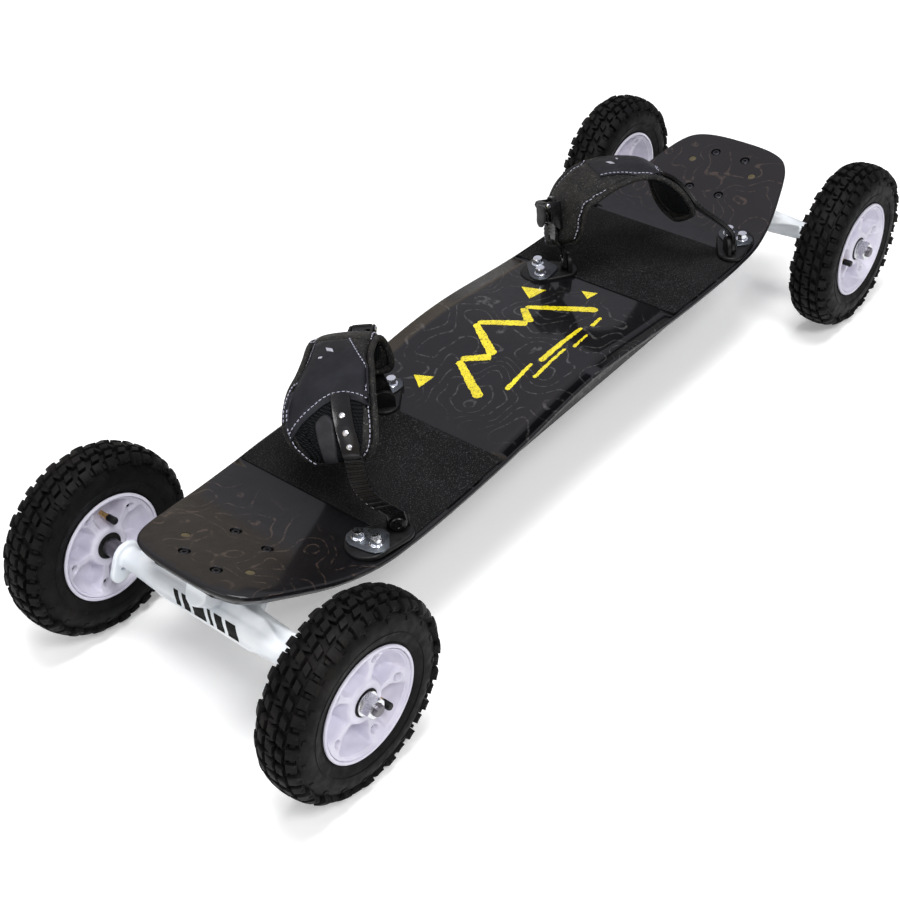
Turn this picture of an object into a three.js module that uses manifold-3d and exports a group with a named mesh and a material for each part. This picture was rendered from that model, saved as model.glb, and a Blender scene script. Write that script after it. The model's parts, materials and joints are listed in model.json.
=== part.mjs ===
// Mountainboard: a laminated deck on two steering trucks, four pneumatic wheels and two foot bindings.
// Millimetres, +Z up. +X runs along the deck to its far end, +Y to its left edge.
// The origin is on the ground under the middle of the deck.
import * as THREE from "three";
import { mergeVertices } from "three/addons/utils/BufferGeometryUtils.js";
import Module from "manifold-3d";

const wasm = await Module();
wasm.setup();
const RAD = Math.PI / 180;

// Driving dimensions of the whole board
const wheelbase = 894;
const track = 335;
const wheelRadius = 100;
const deckLength = 960;
const deckWidth = 233;
const deckThickness = 14;
const deckTopHeight = 134;
const tipAngle = 18.5;
const bendStart = 305;
const bendRadius = 283;

// Clearances and overruns
const seatGap = 0.3;
const runGap = 0.3;
const cutOverrun = 2;

// Deck outline over half of its length, as shares of half the length and half the width
const deckOutlineShares = [
  [0, 0.9], [0.25, 0.93], [0.5, 0.985], [0.65, 1], [0.76, 0.955], [0.87, 0.83], [0.935, 0.7],
  [0.968, 0.58], [0.987, 0.4], [1, 0],
];
const outlineSteps = 15;
const bendSteps = 6;

// Grip tape
const gripThickness = 1;
const gripInner = 155;
const gripOuter = 303;
const gripEdge = 3;

// Truck mounting
const boltPitchLength = 63.5;
const boltPitchWidth = 41.3;
const boltCentre = 422;
const boltRadius = 3;
const boltHeadRadius = 5.5;
const boltHeadHeight = 3.2;
const boltHoleRadius = 3.4;
const spareHoleRadius = 3;
const spareHoleOffset = 11;
const spareHoleSpread = 84;

// Truck
const steerAngle = 26;
const baseLength = 112;
const baseInboardShare = 0.61;
const baseWidth = 62;
const baseThickness = 7;
const baseCorner = 9;
const axisOverAxle = 15;
const ringFromAxle = 36;
const ringRadius = 20;
const ringThickness = 10;
const ringHoleRadius = 10;
const kingpinRadius = 5;
const upperBushHeight = 16;
const lowerBushHeight = 14;
const bushRadius = 14;
const bushWaistShare = 0.86;
const kingpinBossRadius = 16;
const kingpinThread = 20;
const kingpinNutWidth = 17;
const kingpinNutHeight = 8;
const kingpinWasherRadius = 13;
const kingpinWasherThickness = 2;
const kingpinTail = 4;
const noseRadius = 8;
const noseTip = 33;
const noseRoot = 8;
const pivotCupRadius = 13.5;
const pivotCupStart = 19;
const pivotCupEnd = 38;

// Hanger beam
const beamRadius = 14;
const armRadius = 11;
const armEnd = 127;
const armTaperStart = 66;
const faceHalfWidth = 60;
const faceFront = 11;
const faceBack = 8;
const faceBottom = 28;
const gussetSpan = 112;
const gussetWaist = 44;
const lobeThickness = 6;
const lobeRadius = 17;
const lobeDrop = 17;
const lobeTipRadius = 11;
const lobeHoleRadius = 3;
const lobePinRadius = 1.5;
const lobeHoleDrop = 11;
const lobePinDrop = 20;

// Axle
const axleRadius = 6;
const axleShoulderRadius = 9;
const axleTail = 4;

// Hub and tyre, profiles in radius and distance from the wheel's middle plane
const hubHalfWidth = 23;
const hubFaceHalf = 18;
const hubRimRadius = 57;
const hubBedRadius = 50;
const hubFlangeInner = 21.2;
const hubBedEdge = 19.3;
const hubWebFace = 14;
const hubDishRadius = 45;
const hubBossRadius = 20;
const hubBossFlare = 24;
const bearingRadius = 14;
const pocketCount = 5;
const pocketDepth = 9;
const pocketInner = 25;
const pocketOuter = 43;
const pocketAngle = 23;
const pocketNarrowShare = 0.75;
const hubSegments = 18;
const tyreSegments = 28;
const tyreHalfWidth = 25.5;
const tyreWall = 5;
const beadGap = 0.4;
const beadWidth = 10;
const tyreCrownShares = [[1, 0], [0.985, 0.5], [0.945, 0.82], [0.8, 1]];
const nutWidth = 19;
const nutHeight = 10;
const washerRadius = 12;
const washerThickness = 2;

// Bindings
const footHeight = 5;
const footPlate = 3;
const footBoltWidth = 13;
const footBoltHeight = 6;
const pivotHeight = 150;
const pivotInboard = [158, 42];
const pivotOutboard = [296, -96];
const plateInboard = [138, 64];
const plateOutboard = [326, -84];
const footRadius = 21;
const footPivotRadius = 14;
const footPlateRadius = 17;
const footBoltSpread = 21;
const eyeRadius = 9;
const eyeThickness = 4;
const eyeNeck = 14;
const eyePinRadius = 4;
const pinHeadRadius = 7;
const pinHeadThickness = 2.5;
const earThickness = 5;
const earRadius = 11;
const padThickness = 12;
const strapThickness = 4;
const strapWidth = 20;
const ladderWidth = 18;
const toothHeight = 1.2;
const toothPitch = 5;
const buckleWidth = 27;
const buckleLength = 32;
const buckleFloor = 2;
const buckleTop = 4;
const leverThickness = 4;
const leverLength = 34;
const leverWidth = 22;
const leverBarrel = 4;

// Each binding's pad as it was left: the arch leans toeward and turns about its own height, and each row of
// the arch is its place along the strap line, height, toe offset and half width. The riveted strap lies off
// the arch's middle line
const bindingShapes = {
  near: {
    lean: 10,
    turn: 17,
    strapOffset: -16,
    arch: [
      [-100.1, 32, 7, 18], [-100.4, 38, 8, 26], [-101, 50, 10, 31], [-101.9, 65, 13, 33], [-97, 77, 16, 34],
      [-85, 86, 19, 34], [-67, 92, 22, 34], [-46, 95, 25, 34], [-22, 95, 27, 36], [0, 93, 31, 39],
      [20, 88, 36, 43], [36, 80, 40, 45], [47, 71, 42, 44], [53, 64, 42, 39], [56, 58, 41, 32], [57, 53, 40, 21],
    ],
  },
  far: {
    lean: 22,
    turn: 20,
    strapOffset: -5,
    arch: [
      [-97, 32, -6, 18], [-97, 38, -6, 26], [-97, 50, -6, 31], [-96.6, 65, -7, 33], [-91.5, 76, -8, 34],
      [-80, 85, -9, 34], [-62, 92, -10, 34], [-40, 95, -10, 34], [-16, 95, -10, 34], [8, 91, -9, 35],
      [27, 83, -9, 38], [41, 73, -9, 40], [51, 62, -9, 40], [57, 52, -9, 36], [60, 45, -9, 29], [61, 39, -9, 20],
    ],
  },
};

// Helpers

const material = (color, roughness, metalness = 0) =>
  new THREE.MeshStandardMaterial({ color, roughness, metalness });

function solidOf(geometry) {
  const bare = geometry.clone();
  bare.deleteAttribute("normal");
  bare.deleteAttribute("uv");
  const merged = mergeVertices(bare, 1e-4);
  const index = merged.index ? merged.index.array : [...Array(merged.attributes.position.count).keys()];
  return new wasm.Manifold(new wasm.Mesh({
    numProp: 3,
    vertProperties: new Float32Array(merged.attributes.position.array),
    triVerts: new Uint32Array(index),
  }));
}

function geometryOf(solid) {
  const mesh = solid.getMesh();
  const geometry = new THREE.BufferGeometry();
  geometry.setAttribute("position", new THREE.BufferAttribute(new Float32Array(mesh.vertProperties), 3));
  geometry.setIndex(new THREE.BufferAttribute(new Uint32Array(mesh.triVerts), 1));
  geometry.computeVertexNormals();
  return geometry;
}

const unite = (...geometries) => geometryOf(geometries.map(solidOf).reduce((sum, part) => sum.add(part)));
const cut = (base, ...tools) => geometryOf(tools.map(solidOf).reduce((rest, tool) => rest.subtract(tool), solidOf(base)));
const common = (first, second) => geometryOf(solidOf(first).intersect(solidOf(second)));

function moved(geometry, x = 0, y = 0, z = 0) {
  return geometry.clone().translate(x, y, z);
}

function box(x0, x1, y0, y1, z0, z1) {
  return new THREE.BoxGeometry(x1 - x0, y1 - y0, z1 - z0)
    .translate((x0 + x1) / 2, (y0 + y1) / 2, (z0 + z1) / 2);
}

// Cylinder along one axis, from one coordinate to another, through a point of the other two
function rod(axis, radius, from, to, p = 0, q = 0, sides = 20, topRadius = radius) {
  const body = new THREE.CylinderGeometry(topRadius, radius, to - from, sides);
  body.translate(0, (from + to) / 2, 0);
  if (axis === "x") return body.rotateZ(-Math.PI / 2).translate(0, p, q);
  if (axis === "z") return body.rotateX(Math.PI / 2).translate(p, q, 0);
  return body.translate(p, 0, q);
}

// Ring-shaped or solid turned piece about the Y axis; the profile closes on itself
function turned(profile, segments) {
  const points = profile.map(([r, y]) => new THREE.Vector2(r, y));
  if (profile[0][0] > 0) points.push(points[0].clone());
  return new THREE.LatheGeometry(points, segments);
}

// Plate whose outline lies in X and Y, from z0 to z1
function plate(shape, z0, z1, curveSegments = 8) {
  return new THREE.ExtrudeGeometry(shape, { depth: z1 - z0, bevelEnabled: false, curveSegments })
    .translate(0, 0, z0);
}

// Plate whose outline lies in X and Z, from y0 to y1
function sidePlate(shape, y0, y1, curveSegments = 8) {
  return new THREE.ExtrudeGeometry(shape, { depth: y1 - y0, bevelEnabled: false, curveSegments })
    .rotateX(Math.PI / 2).translate(0, y1, 0);
}

function shapeOf(points) {
  return new THREE.Shape(points.map(([x, y]) => new THREE.Vector2(x, y)));
}

// Outline round several discs, each [x, y, radius]
function discHull(discs, steps = 16) {
  const points = discs.flatMap(([x, y, r]) =>
    Array.from({ length: steps }, (_, i) => {
      const a = (2 * Math.PI * i) / steps;
      return [x + r * Math.cos(a), y + r * Math.sin(a)];
    }));
  points.sort((a, b) => a[0] - b[0] || a[1] - b[1]);
  const half = (list) => {
    const chain = [];
    for (const p of list) {
      while (chain.length > 1) {
        const [a, b] = chain.slice(-2);
        if ((b[0] - a[0]) * (p[1] - a[1]) - (b[1] - a[1]) * (p[0] - a[0]) > 0) break;
        chain.pop();
      }
      chain.push(p);
    }
    return chain.slice(0, -1);
  };
  return shapeOf([...half(points), ...half([...points].reverse())]);
}

function roundedRect(x0, x1, y0, y1, r) {
  return discHull([[x0 + r, y0 + r, r], [x1 - r, y0 + r, r], [x1 - r, y1 - r, r], [x0 + r, y1 - r, r]], 16);
}

function hexagon(width) {
  const r = width / 2 / Math.cos(Math.PI / 6);
  return new THREE.CylinderGeometry(r, r, 1, 6);
}

// Closed body through rings of points, each ring counter-clockwise seen against the run
function loft(rings) {
  const size = rings[0].length;
  const positions = rings.flat().flatMap((p) => [p.x, p.y, p.z]);
  const index = [];
  for (let k = 0; k < rings.length - 1; k++) {
    for (let i = 0; i < size; i++) {
      const a = k * size + i;
      const b = k * size + ((i + 1) % size);
      index.push(a, b, b + size, a, b + size, a + size);
    }
  }
  for (let i = 1; i < size - 1; i++) {
    const last = (rings.length - 1) * size;
    index.push(0, i + 1, i, last, last + i, last + i + 1);
  }
  const geometry = new THREE.BufferGeometry();
  geometry.setAttribute("position", new THREE.BufferAttribute(new Float32Array(positions), 3));
  geometry.setIndex(index);
  geometry.computeVertexNormals();
  return geometry;
}

function mirrored(geometry) {
  const copy = geometry.clone().applyMatrix4(new THREE.Matrix4().makeScale(-1, 1, 1));
  const flipped = copy.index ? copy : mergeVertices(copy);
  const list = flipped.index.array;
  for (let i = 0; i < list.length; i += 3) [list[i + 1], list[i + 2]] = [list[i + 2], list[i + 1]];
  flipped.computeVertexNormals();
  return flipped;
}

const board = new THREE.Group();
function add(parent, name, geometry, finish) {
  const mesh = new THREE.Mesh(geometry, finish);
  mesh.name = name;
  parent.add(mesh);
  return mesh;
}

const ends = [["near", Math.PI], ["far", 0]];

// Deck: side profile and plan outline in one

const tip = tipAngle * RAD;
const bendRun = bendRadius * Math.sin(tip);
const bendRise = bendRadius * (1 - Math.cos(tip));
const tipRun = deckLength / 2 - bendStart - bendRun;
const deckHalfWidth = deckWidth / 2;

// Side profile between a lower and an upper offset from the deck's top surface
function deckProfile(low, high) {
  const side = (offset) => {
    const points = [];
    for (let i = 0; i <= bendSteps; i++) {
      const a = (tip * i) / bendSteps;
      const r = bendRadius - offset;
      points.push([bendStart + r * Math.sin(a), deckTopHeight + bendRadius - r * Math.cos(a)]);
    }
    const [x, z] = points[points.length - 1];
    const run = tipRun + cutOverrun;
    points.push([x + run, z + run * Math.tan(tip)]);
    return [...points.map(([px, pz]) => [-px, pz]).reverse(), ...points];
  };
  return shapeOf([...side(low), ...side(high).reverse()]);
}

function deckOutline(inset) {
  const quarter = new THREE.SplineCurve(deckOutlineShares.map(
    ([a, b]) => new THREE.Vector2((a * deckLength) / 2, b * deckHalfWidth)));
  const points = quarter.getPoints(outlineSteps).map((p) => [p.x, Math.max(p.y, 0)]);
  const shrink = 1 - inset / deckHalfWidth;
  const half = [...points.slice(1).map(([x, y]) => [-x, y]).reverse(), ...points];
  const ring = [...half, ...half.slice(1, -1).reverse().map(([x, y]) => [x, -y])];
  return shapeOf(ring.map(([x, y]) => [x, y * shrink]).reverse());
}

function deckLayer(low, high, inset) {
  const profile = sidePlate(deckProfile(low, high), -deckHalfWidth - cutOverrun, deckHalfWidth + cutOverrun);
  const outline = plate(deckOutline(inset), 0, deckTopHeight + deckLength);
  return common(profile, outline);
}

// Truck frame: origin on the deck's underside at the middle of the bolts, X outboard along the tip
const tipSlide = (boltCentre - bendStart - bendRun) / Math.cos(tip);
const boltTop = [boltCentre, deckTopHeight + bendRise + tipSlide * Math.sin(tip)];
const truckOrigin = [boltTop[0] + deckThickness * Math.sin(tip), boltTop[1] - deckThickness * Math.cos(tip)];
const toAxle = [wheelbase / 2 - truckOrigin[0], wheelRadius - truckOrigin[1]];
const axleX = toAxle[0] * Math.cos(tip) + toAxle[1] * Math.sin(tip);
const axleZ = -toAxle[0] * Math.sin(tip) + toAxle[1] * Math.cos(tip);

const boltPlaces = [[1, 1], [1, -1], [-1, 1], [-1, -1]].map(
  ([i, j]) => [(i * boltPitchLength) / 2, (j * boltPitchWidth) / 2]);

function endGroup(turn) {
  const end = new THREE.Group();
  end.rotation.z = turn;
  board.add(end);
  const truck = new THREE.Group();
  truck.position.set(truckOrigin[0], 0, truckOrigin[1]);
  truck.rotation.y = -tip;
  end.add(truck);
  return [end, truck];
}

function toDeck(geometry, turn) {
  return geometry.clone().rotateY(-tip).translate(truckOrigin[0], 0, truckOrigin[1]).rotateZ(turn);
}

const deckHoles = ends.flatMap(([, turn]) => [
  ...boltPlaces.flatMap(([x, y]) => [
    toDeck(rod("z", boltHoleRadius, -cutOverrun, deckThickness + cutOverrun, x, y, 10), turn),
    toDeck(rod("z", boltHeadRadius + runGap, deckThickness - boltHeadHeight - runGap,
      deckThickness + cutOverrun, x, y, 10), turn),
  ]),
  ...[1, -1].map((side) => toDeck(rod("z", spareHoleRadius, -cutOverrun, deckThickness + cutOverrun,
    spareHoleOffset, (side * spareHoleSpread) / 2, 10), turn)),
]);

const black = material(0x14130f, 0.25);
add(board, "deck", cut(deckLayer(-deckThickness, 0, 0), ...deckHoles), black);

// Grip tape on both standing areas, cut off square across the deck
for (const [name, side] of [["near", -1], ["far", 1]]) {
  const edges = [side * gripInner, side * gripOuter].sort((a, b) => a - b);
  const sheet = plate(deckOutline(gripEdge), deckTopHeight + seatGap, deckTopHeight + seatGap + gripThickness);
  const area = box(edges[0], edges[1], -deckWidth, deckWidth, deckTopHeight, deckTopHeight + deckThickness);
  add(board, `grip_${name}`, common(sheet, area), material(0x1b1b1b, 0.95));
}

// Truck

const steer = steerAngle * RAD;
const steerOrigin = [axleX - axisOverAxle * Math.sin(steer), axleZ + axisOverAxle * Math.cos(steer)];
const toTruck = (geometry) => geometry.clone().rotateY(-steer).translate(steerOrigin[0], 0, steerOrigin[1]);
const ringX = -ringFromAxle;
const bushBase = ringThickness / 2 + seatGap;
const bossStart = bushBase + upperBushHeight + seatGap;
const kingpinTop = bossStart + kingpinThread;
const bushEnd = -(bushBase + lowerBushHeight);
const washerEnd = bushEnd - seatGap - kingpinWasherThickness;
const nutEnd = washerEnd - kingpinNutHeight;

function truckBase() {
  const x0 = -baseLength * baseInboardShare;
  const base = plate(roundedRect(x0, x0 + baseLength, -baseWidth / 2, baseWidth / 2, baseCorner),
    -baseThickness - seatGap, -seatGap);
  const boss = toTruck(rod("z", kingpinBossRadius, bossStart, bossStart + ringFromAxle * 2, ringX, 0, 20));
  const cup = toTruck(rod("x", pivotCupRadius, pivotCupStart, pivotCupEnd, 0, 0, 20));
  const cupCentre = (pivotCupStart + pivotCupEnd) / 2;
  const cupX = steerOrigin[0] + cupCentre * Math.cos(steer);
  const cupZ = steerOrigin[1] + cupCentre * Math.sin(steer);
  const webHalf = (pivotCupEnd - pivotCupStart) / 2;
  const web = box(cupX - webHalf, cupX + webHalf, -pivotCupRadius, pivotCupRadius, cupZ, -baseThickness / 2);
  const above = box(-baseLength * 2, baseLength * 2, -baseWidth * 2, baseWidth * 2, -seatGap, baseLength * 2);
  const bores = [
    above,
    toTruck(rod("z", kingpinRadius + runGap, 0, kingpinTop + seatGap, ringX, 0, 16)),
    toTruck(rod("x", noseRadius + runGap, 0, noseTip + seatGap, 0, 0, 16)),
    ...boltPlaces.map(([x, y]) => rod("z", boltHoleRadius, -baseThickness * 2, cutOverrun, x, y, 10)),
  ];
  return cut(unite(base, boss, cup, web), ...bores);
}

// Everything from here on the hanger's own frame: X along the steering axis, Z square to it
function hangerBody() {
  const axleAt = -axisOverAxle;
  const arms = rotatedBeam(axleAt);
  const faceTop = ringThickness / 2;
  const facePoints = [
    [-faceHalfWidth, faceTop], [-armTaperStart - faceBottom, axleAt + armRadius / 2],
    [-armTaperStart - faceBottom, axleAt - armRadius / 2], [-faceHalfWidth, -faceBottom],
  ];
  const faceOutline = [...facePoints, ...facePoints.map(([y, z]) => [-y, z]).reverse()];
  const face = new THREE.ExtrudeGeometry(shapeOf(faceOutline.reverse()),
    { depth: faceFront + faceBack, bevelEnabled: false });
  face.rotateX(Math.PI / 2).rotateZ(Math.PI / 2).translate(-faceBack, 0, 0);
  const waistX = ringX / 2;
  const side = new THREE.SplineCurve([
    new THREE.Vector2(0, gussetSpan), new THREE.Vector2(waistX / 2, (gussetSpan + gussetWaist) / 2 - ringRadius / 2),
    new THREE.Vector2(waistX, gussetWaist - ringRadius / 2), new THREE.Vector2(ringX, ringRadius),
  ]).getPoints(10).map((p) => [p.x, p.y]);
  const gusset = plate(shapeOf([...side.map(([x, y]) => [x, y]), ...[...side].reverse().map(([x, y]) => [x, -y])]
    .concat([[faceFront / 2, -gussetWaist], [faceFront / 2, gussetWaist]])), -ringThickness / 2, faceTop);
  const ring = rod("z", ringRadius, -ringThickness / 2, ringThickness / 2, ringX, 0, 24);
  const nose = rod("x", noseRadius, noseRoot, noseTip, 0, 0, 16);
  const noseCone = rod("x", armTaperStart / 4, 0, pivotCupStart - cutOverrun, 0, 0, 16, noseRadius);
  const noseBlock = common(noseCone, box(0, pivotCupStart, -armTaperStart, armTaperStart, axleAt, faceTop * 2));
  const lobes = [1, -1].map((end) => {
    const outline = discHull([[0, axleAt, lobeRadius], [0, axleAt - lobeDrop, lobeTipRadius]]);
    const y0 = end > 0 ? armEnd - lobeThickness : -armEnd;
    return sidePlate(outline, y0, y0 + lobeThickness);
  });
  const holes = [
    rod("z", ringHoleRadius, -ringThickness, ringThickness, ringX, 0, 16),
    rod("y", axleRadius + runGap, -armEnd - cutOverrun, armEnd + cutOverrun, 0, axleAt, 14),
    ...[1, -1].flatMap((end) => [
      rod("y", lobeHoleRadius, end * armEnd - lobeThickness * 2, end * armEnd + lobeThickness * 2,
        0, axleAt - lobeHoleDrop, 12),
      rod("y", lobePinRadius, end * armEnd - lobeThickness * 2, end * armEnd + lobeThickness * 2,
        0, axleAt - lobePinDrop, 8),
    ]),
  ];
  return cut(unite(arms, face, gusset, ring, nose, noseBlock, ...lobes), ...holes);
}

function rotatedBeam(axleAt) {
  const profile = [
    [0, -armEnd], [armRadius, -armEnd], [armRadius, -gussetSpan], [beamRadius, -armTaperStart],
    [beamRadius, armTaperStart], [armRadius, gussetSpan], [armRadius, armEnd], [0, armEnd],
  ];
  return turned(profile, 16).translate(0, 0, axleAt);
}

function bushing(z0, z1) {
  const middle = (z0 + z1) / 2;
  const inner = kingpinRadius + runGap;
  const profile = [
    [inner, z0], [bushRadius, z0], [bushRadius * bushWaistShare, middle], [bushRadius, z1], [inner, z1],
  ];
  return turned(profile, 16).rotateX(Math.PI / 2).translate(ringX, 0, 0);
}

function washeredNut() {
  const nut = hexagon(kingpinNutWidth).scale(1, kingpinNutHeight, 1).rotateX(Math.PI / 2)
    .translate(ringX, 0, (washerEnd + nutEnd) / 2);
  const washer = rod("z", kingpinWasherRadius, washerEnd - seatGap, bushEnd - seatGap, ringX, 0, 16);
  const bore = rod("z", kingpinRadius + runGap, nutEnd - cutOverrun, 0, ringX, 0, 12);
  return cut(unite(nut, washer), bore);
}

// Axle with its shoulders, which hold the wheels off the arms
const wheelPlane = track / 2;
const hubInside = wheelPlane - hubFaceHalf;
const hubOutside = wheelPlane + hubFaceHalf;
const nutFace = hubOutside + seatGap + washerThickness + nutHeight;
function axle() {
  const half = [
    [axleRadius, armEnd + seatGap], [axleShoulderRadius, armEnd + seatGap],
    [axleShoulderRadius, hubInside - seatGap], [axleRadius, hubInside - seatGap],
    [axleRadius, nutFace + axleTail - 1], [axleRadius - 1, nutFace + axleTail], [0, nutFace + axleTail],
  ];
  return turned([...half.map(([r, y]) => [r, -y]).reverse(), ...half], 14);
}

const castWhite = material(0xe9edf0, 0.4);
const steel = material(0xb9bcc0, 0.3, 1);
const blackSteel = material(0x18181a, 0.4, 1);
const rubber = material(0x151515, 0.85);

for (const [name, turn] of ends) {
  const [, truck] = endGroup(turn);
  add(truck, `truck_base_${name}`, truckBase(), castWhite);
  const hanger = new THREE.Group();
  hanger.position.set(steerOrigin[0], 0, steerOrigin[1]);
  hanger.rotation.y = -steer;
  truck.add(hanger);
  add(hanger, `hanger_${name}`, hangerBody(), castWhite);
  add(hanger, `kingpin_${name}`, rod("z", kingpinRadius, nutEnd - kingpinTail, kingpinTop, ringX, 0, 16), steel);
  add(hanger, `kingpin_nut_${name}`, washeredNut(), steel);
  add(hanger, `bushing_upper_${name}`, bushing(bushBase, bushBase + upperBushHeight), material(0x222222, 0.6));
  add(hanger, `bushing_lower_${name}`, bushing(bushEnd, -bushBase), material(0x222222, 0.6));
  add(hanger, `axle_${name}`, axle().translate(0, 0, -axisOverAxle), steel);
  boltPlaces.forEach(([x, y], i) => {
    const top = deckThickness;
    const head = top - boltHeadHeight;
    const bolt = turned([
      [0, -baseThickness - seatGap], [boltRadius, -baseThickness - seatGap], [boltRadius, head],
      [boltHeadRadius, head], [boltHeadRadius, top], [0, top],
    ], 8).rotateX(Math.PI / 2).translate(x, y, 0);
    add(truck, `truck_bolt_${name}_${i + 1}`, bolt, blackSteel);
  });
}

// Wheels

// Half of the hub on the positive side of the wheel's middle plane
function hubHalf() {
  const bore = bearingRadius + runGap;
  const split = seatGap / 2;
  const profile = [
    [bore, split], [hubBedRadius, split], [hubBedRadius, hubBedEdge], [hubRimRadius, hubFlangeInner],
    [hubRimRadius, hubHalfWidth], [hubBedRadius, hubHalfWidth], [hubDishRadius, hubWebFace],
    [hubBossFlare, hubWebFace], [hubBossRadius, hubFaceHalf], [bore, hubFaceHalf],
  ];
  const body = turned(profile, hubSegments);
  const wide = pocketAngle * RAD;
  const narrow = wide * pocketNarrowShare;
  const corner = (r, a) => [r * Math.cos(a), r * Math.sin(a)];
  const outline = shapeOf([
    corner(pocketInner, -narrow), corner(pocketOuter, -wide), corner(pocketOuter, 0), corner(pocketOuter, wide),
    corner(pocketInner, narrow),
  ]);
  const pocket = plate(outline, hubWebFace - pocketDepth, hubHalfWidth).rotateX(-Math.PI / 2);
  const pockets = Array.from({ length: pocketCount }, (_, i) =>
    pocket.clone().rotateY((2 * Math.PI * i) / pocketCount));
  return cut(body, ...pockets);
}

function tyre() {
  const facet = 1 / Math.cos(Math.PI / tyreSegments);
  const bead = hubBedRadius + beadGap;
  const side = hubBedEdge - beadGap;
  const flange = hubRimRadius + beadGap;
  const outer = [
    ...tyreCrownShares.map(([r, y]) => [r * wheelRadius * facet, y * tyreHalfWidth]),
    [flange * facet, hubFlangeInner - beadGap * 2], [bead * facet, side],
  ];
  const inner = [
    [bead * facet, side - beadWidth],
    ...tyreCrownShares.slice(2).reverse().map(([r, y]) => [
      r * wheelRadius * facet - tyreWall / 2, y * tyreHalfWidth - tyreWall]),
  ];
  inner.push([wheelRadius * facet - tyreWall, 0]);
  const upper = [...outer, ...inner];
  const lower = upper.slice(1, -1).reverse().map(([r, y]) => [r, -y]);
  return turned([...upper, ...lower], tyreSegments).rotateY(Math.PI / tyreSegments);
}

function bearing() {
  const inner = axleRadius + runGap;
  const half = hubFaceHalf;
  return turned([[inner, -half], [bearingRadius, -half], [bearingRadius, half], [inner, half]], hubSegments);
}

function axleNut() {
  const start = hubFaceHalf + seatGap;
  const nut = hexagon(nutWidth).scale(1, nutHeight, 1).translate(0, start + washerThickness + nutHeight / 2, 0);
  const washer = rod("y", washerRadius, start, start + washerThickness + seatGap, 0, 0, 16);
  return cut(unite(nut, washer), rod("y", axleRadius + runGap, 0, nutFace, 0, 0, 12));
}

const nylon = material(0xe4dfee, 0.45);
for (const [end, x] of [["near", -wheelbase / 2], ["far", wheelbase / 2]]) {
  for (const [side, sign] of [["left", 1], ["right", -1]]) {
    const wheel = new THREE.Group();
    wheel.position.set(x, sign * wheelPlane, wheelRadius);
    wheel.rotation.x = sign > 0 ? 0 : Math.PI;
    board.add(wheel);
    const tag = `${end}_${side}`;
    add(wheel, `tyre_${tag}`, tyre(), rubber);
    add(wheel, `hub_outer_${tag}`, hubHalf(), nylon);
    add(wheel, `hub_inner_${tag}`, hubHalf().rotateX(Math.PI), nylon);
    add(wheel, `bearing_${tag}`, bearing(), blackSteel);
    add(wheel, `axle_nut_${tag}`, axleNut(), steel);
  }
}

// Bindings: made at the far end, then mirrored for the near end

const strapRun = new THREE.Vector3(pivotOutboard[0] - pivotInboard[0], pivotOutboard[1] - pivotInboard[1], 0);
const pivotSpan = strapRun.length();
const along = strapRun.clone().normalize();
const toe = new THREE.Vector3(-along.y, along.x, 0);
const upright = new THREE.Vector3(0, 0, 1);
const archOrigin = new THREE.Vector3(
  (pivotInboard[0] + pivotOutboard[0]) / 2, (pivotInboard[1] + pivotOutboard[1]) / 2, pivotHeight);
const standFrame = new THREE.Matrix4().makeBasis(along, toe, upright).setPosition(archOrigin);
const eyeAt = pivotSpan / 2;

const vec = (x, y, z) => new THREE.Vector3(x, y, z);

function archFrame(leanDegrees) {
  const lean = leanDegrees * RAD;
  const up = upright.clone().multiplyScalar(Math.cos(lean)).addScaledVector(toe, Math.sin(lean));
  const across = toe.clone().multiplyScalar(Math.cos(lean)).addScaledVector(upright, -Math.sin(lean));
  return new THREE.Matrix4().makeBasis(along, across, up).setPosition(archOrigin);
}

// Direction across a band that is turned about its height
const acrossAt = (turn) => vec(-Math.sin(turn * RAD), Math.cos(turn * RAD), 0);

// Rings over a run of rows {s, h, w, half, turn, extra}; place(v, level) is a point of a row
function band(run, thickness, crown = 0, ringPoints = null, offset = 0) {
  return run.map(({ s, h, w, half, turn = 0, extra = 0 }, k) => {
    const before = run[Math.max(k - 1, 0)];
    const after = run[Math.min(k + 1, run.length - 1)];
    const across = acrossAt(turn);
    const normal = vec(after.s - before.s, after.w - before.w, after.h - before.h).cross(across).normalize();
    const point = (v, level) => vec(s, w, h).addScaledVector(across, v).addScaledVector(normal, offset + level);
    const top = thickness / 2 + extra;
    if (!ringPoints) {
      return [point(-half, -thickness / 2), point(half, -thickness / 2), point(half, top), point(-half, top)];
    }
    return ringPoints.map(([v, level, bulge]) =>
      point(v * half, (level * thickness) / 2 + bulge * crown));
  });
}

// Cushioned cross section: a soft edge, a crowned outside and a slightly hollow inside
const padSectionShares = [
  [-1, -0.35, 0], [-0.75, -0.9, 0], [-0.35, -1, 0.4], [0.35, -1, 0.4], [0.75, -0.9, 0], [1, -0.35, 0],
  [1, 0.35, 0], [0.8, 0.9, 0.1], [0.4, 1, 0.9], [0, 1, 1.2], [-0.4, 1, 0.9], [-0.8, 0.9, 0.1], [-1, 0.35, 0],
];
const padCrown = 2;
const padSkin = padThickness / 2 + padCrown * 1.2;
const strapLevel = padSkin + seatGap + strapThickness / 2;

const archRows = ({ arch, turn }) => arch.map(([s, h, w, half]) => ({ s, h, w, half, turn }));

function padBody(shape) {
  return loft(band(archRows(shape), padThickness, padCrown, padSectionShares));
}

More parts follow.
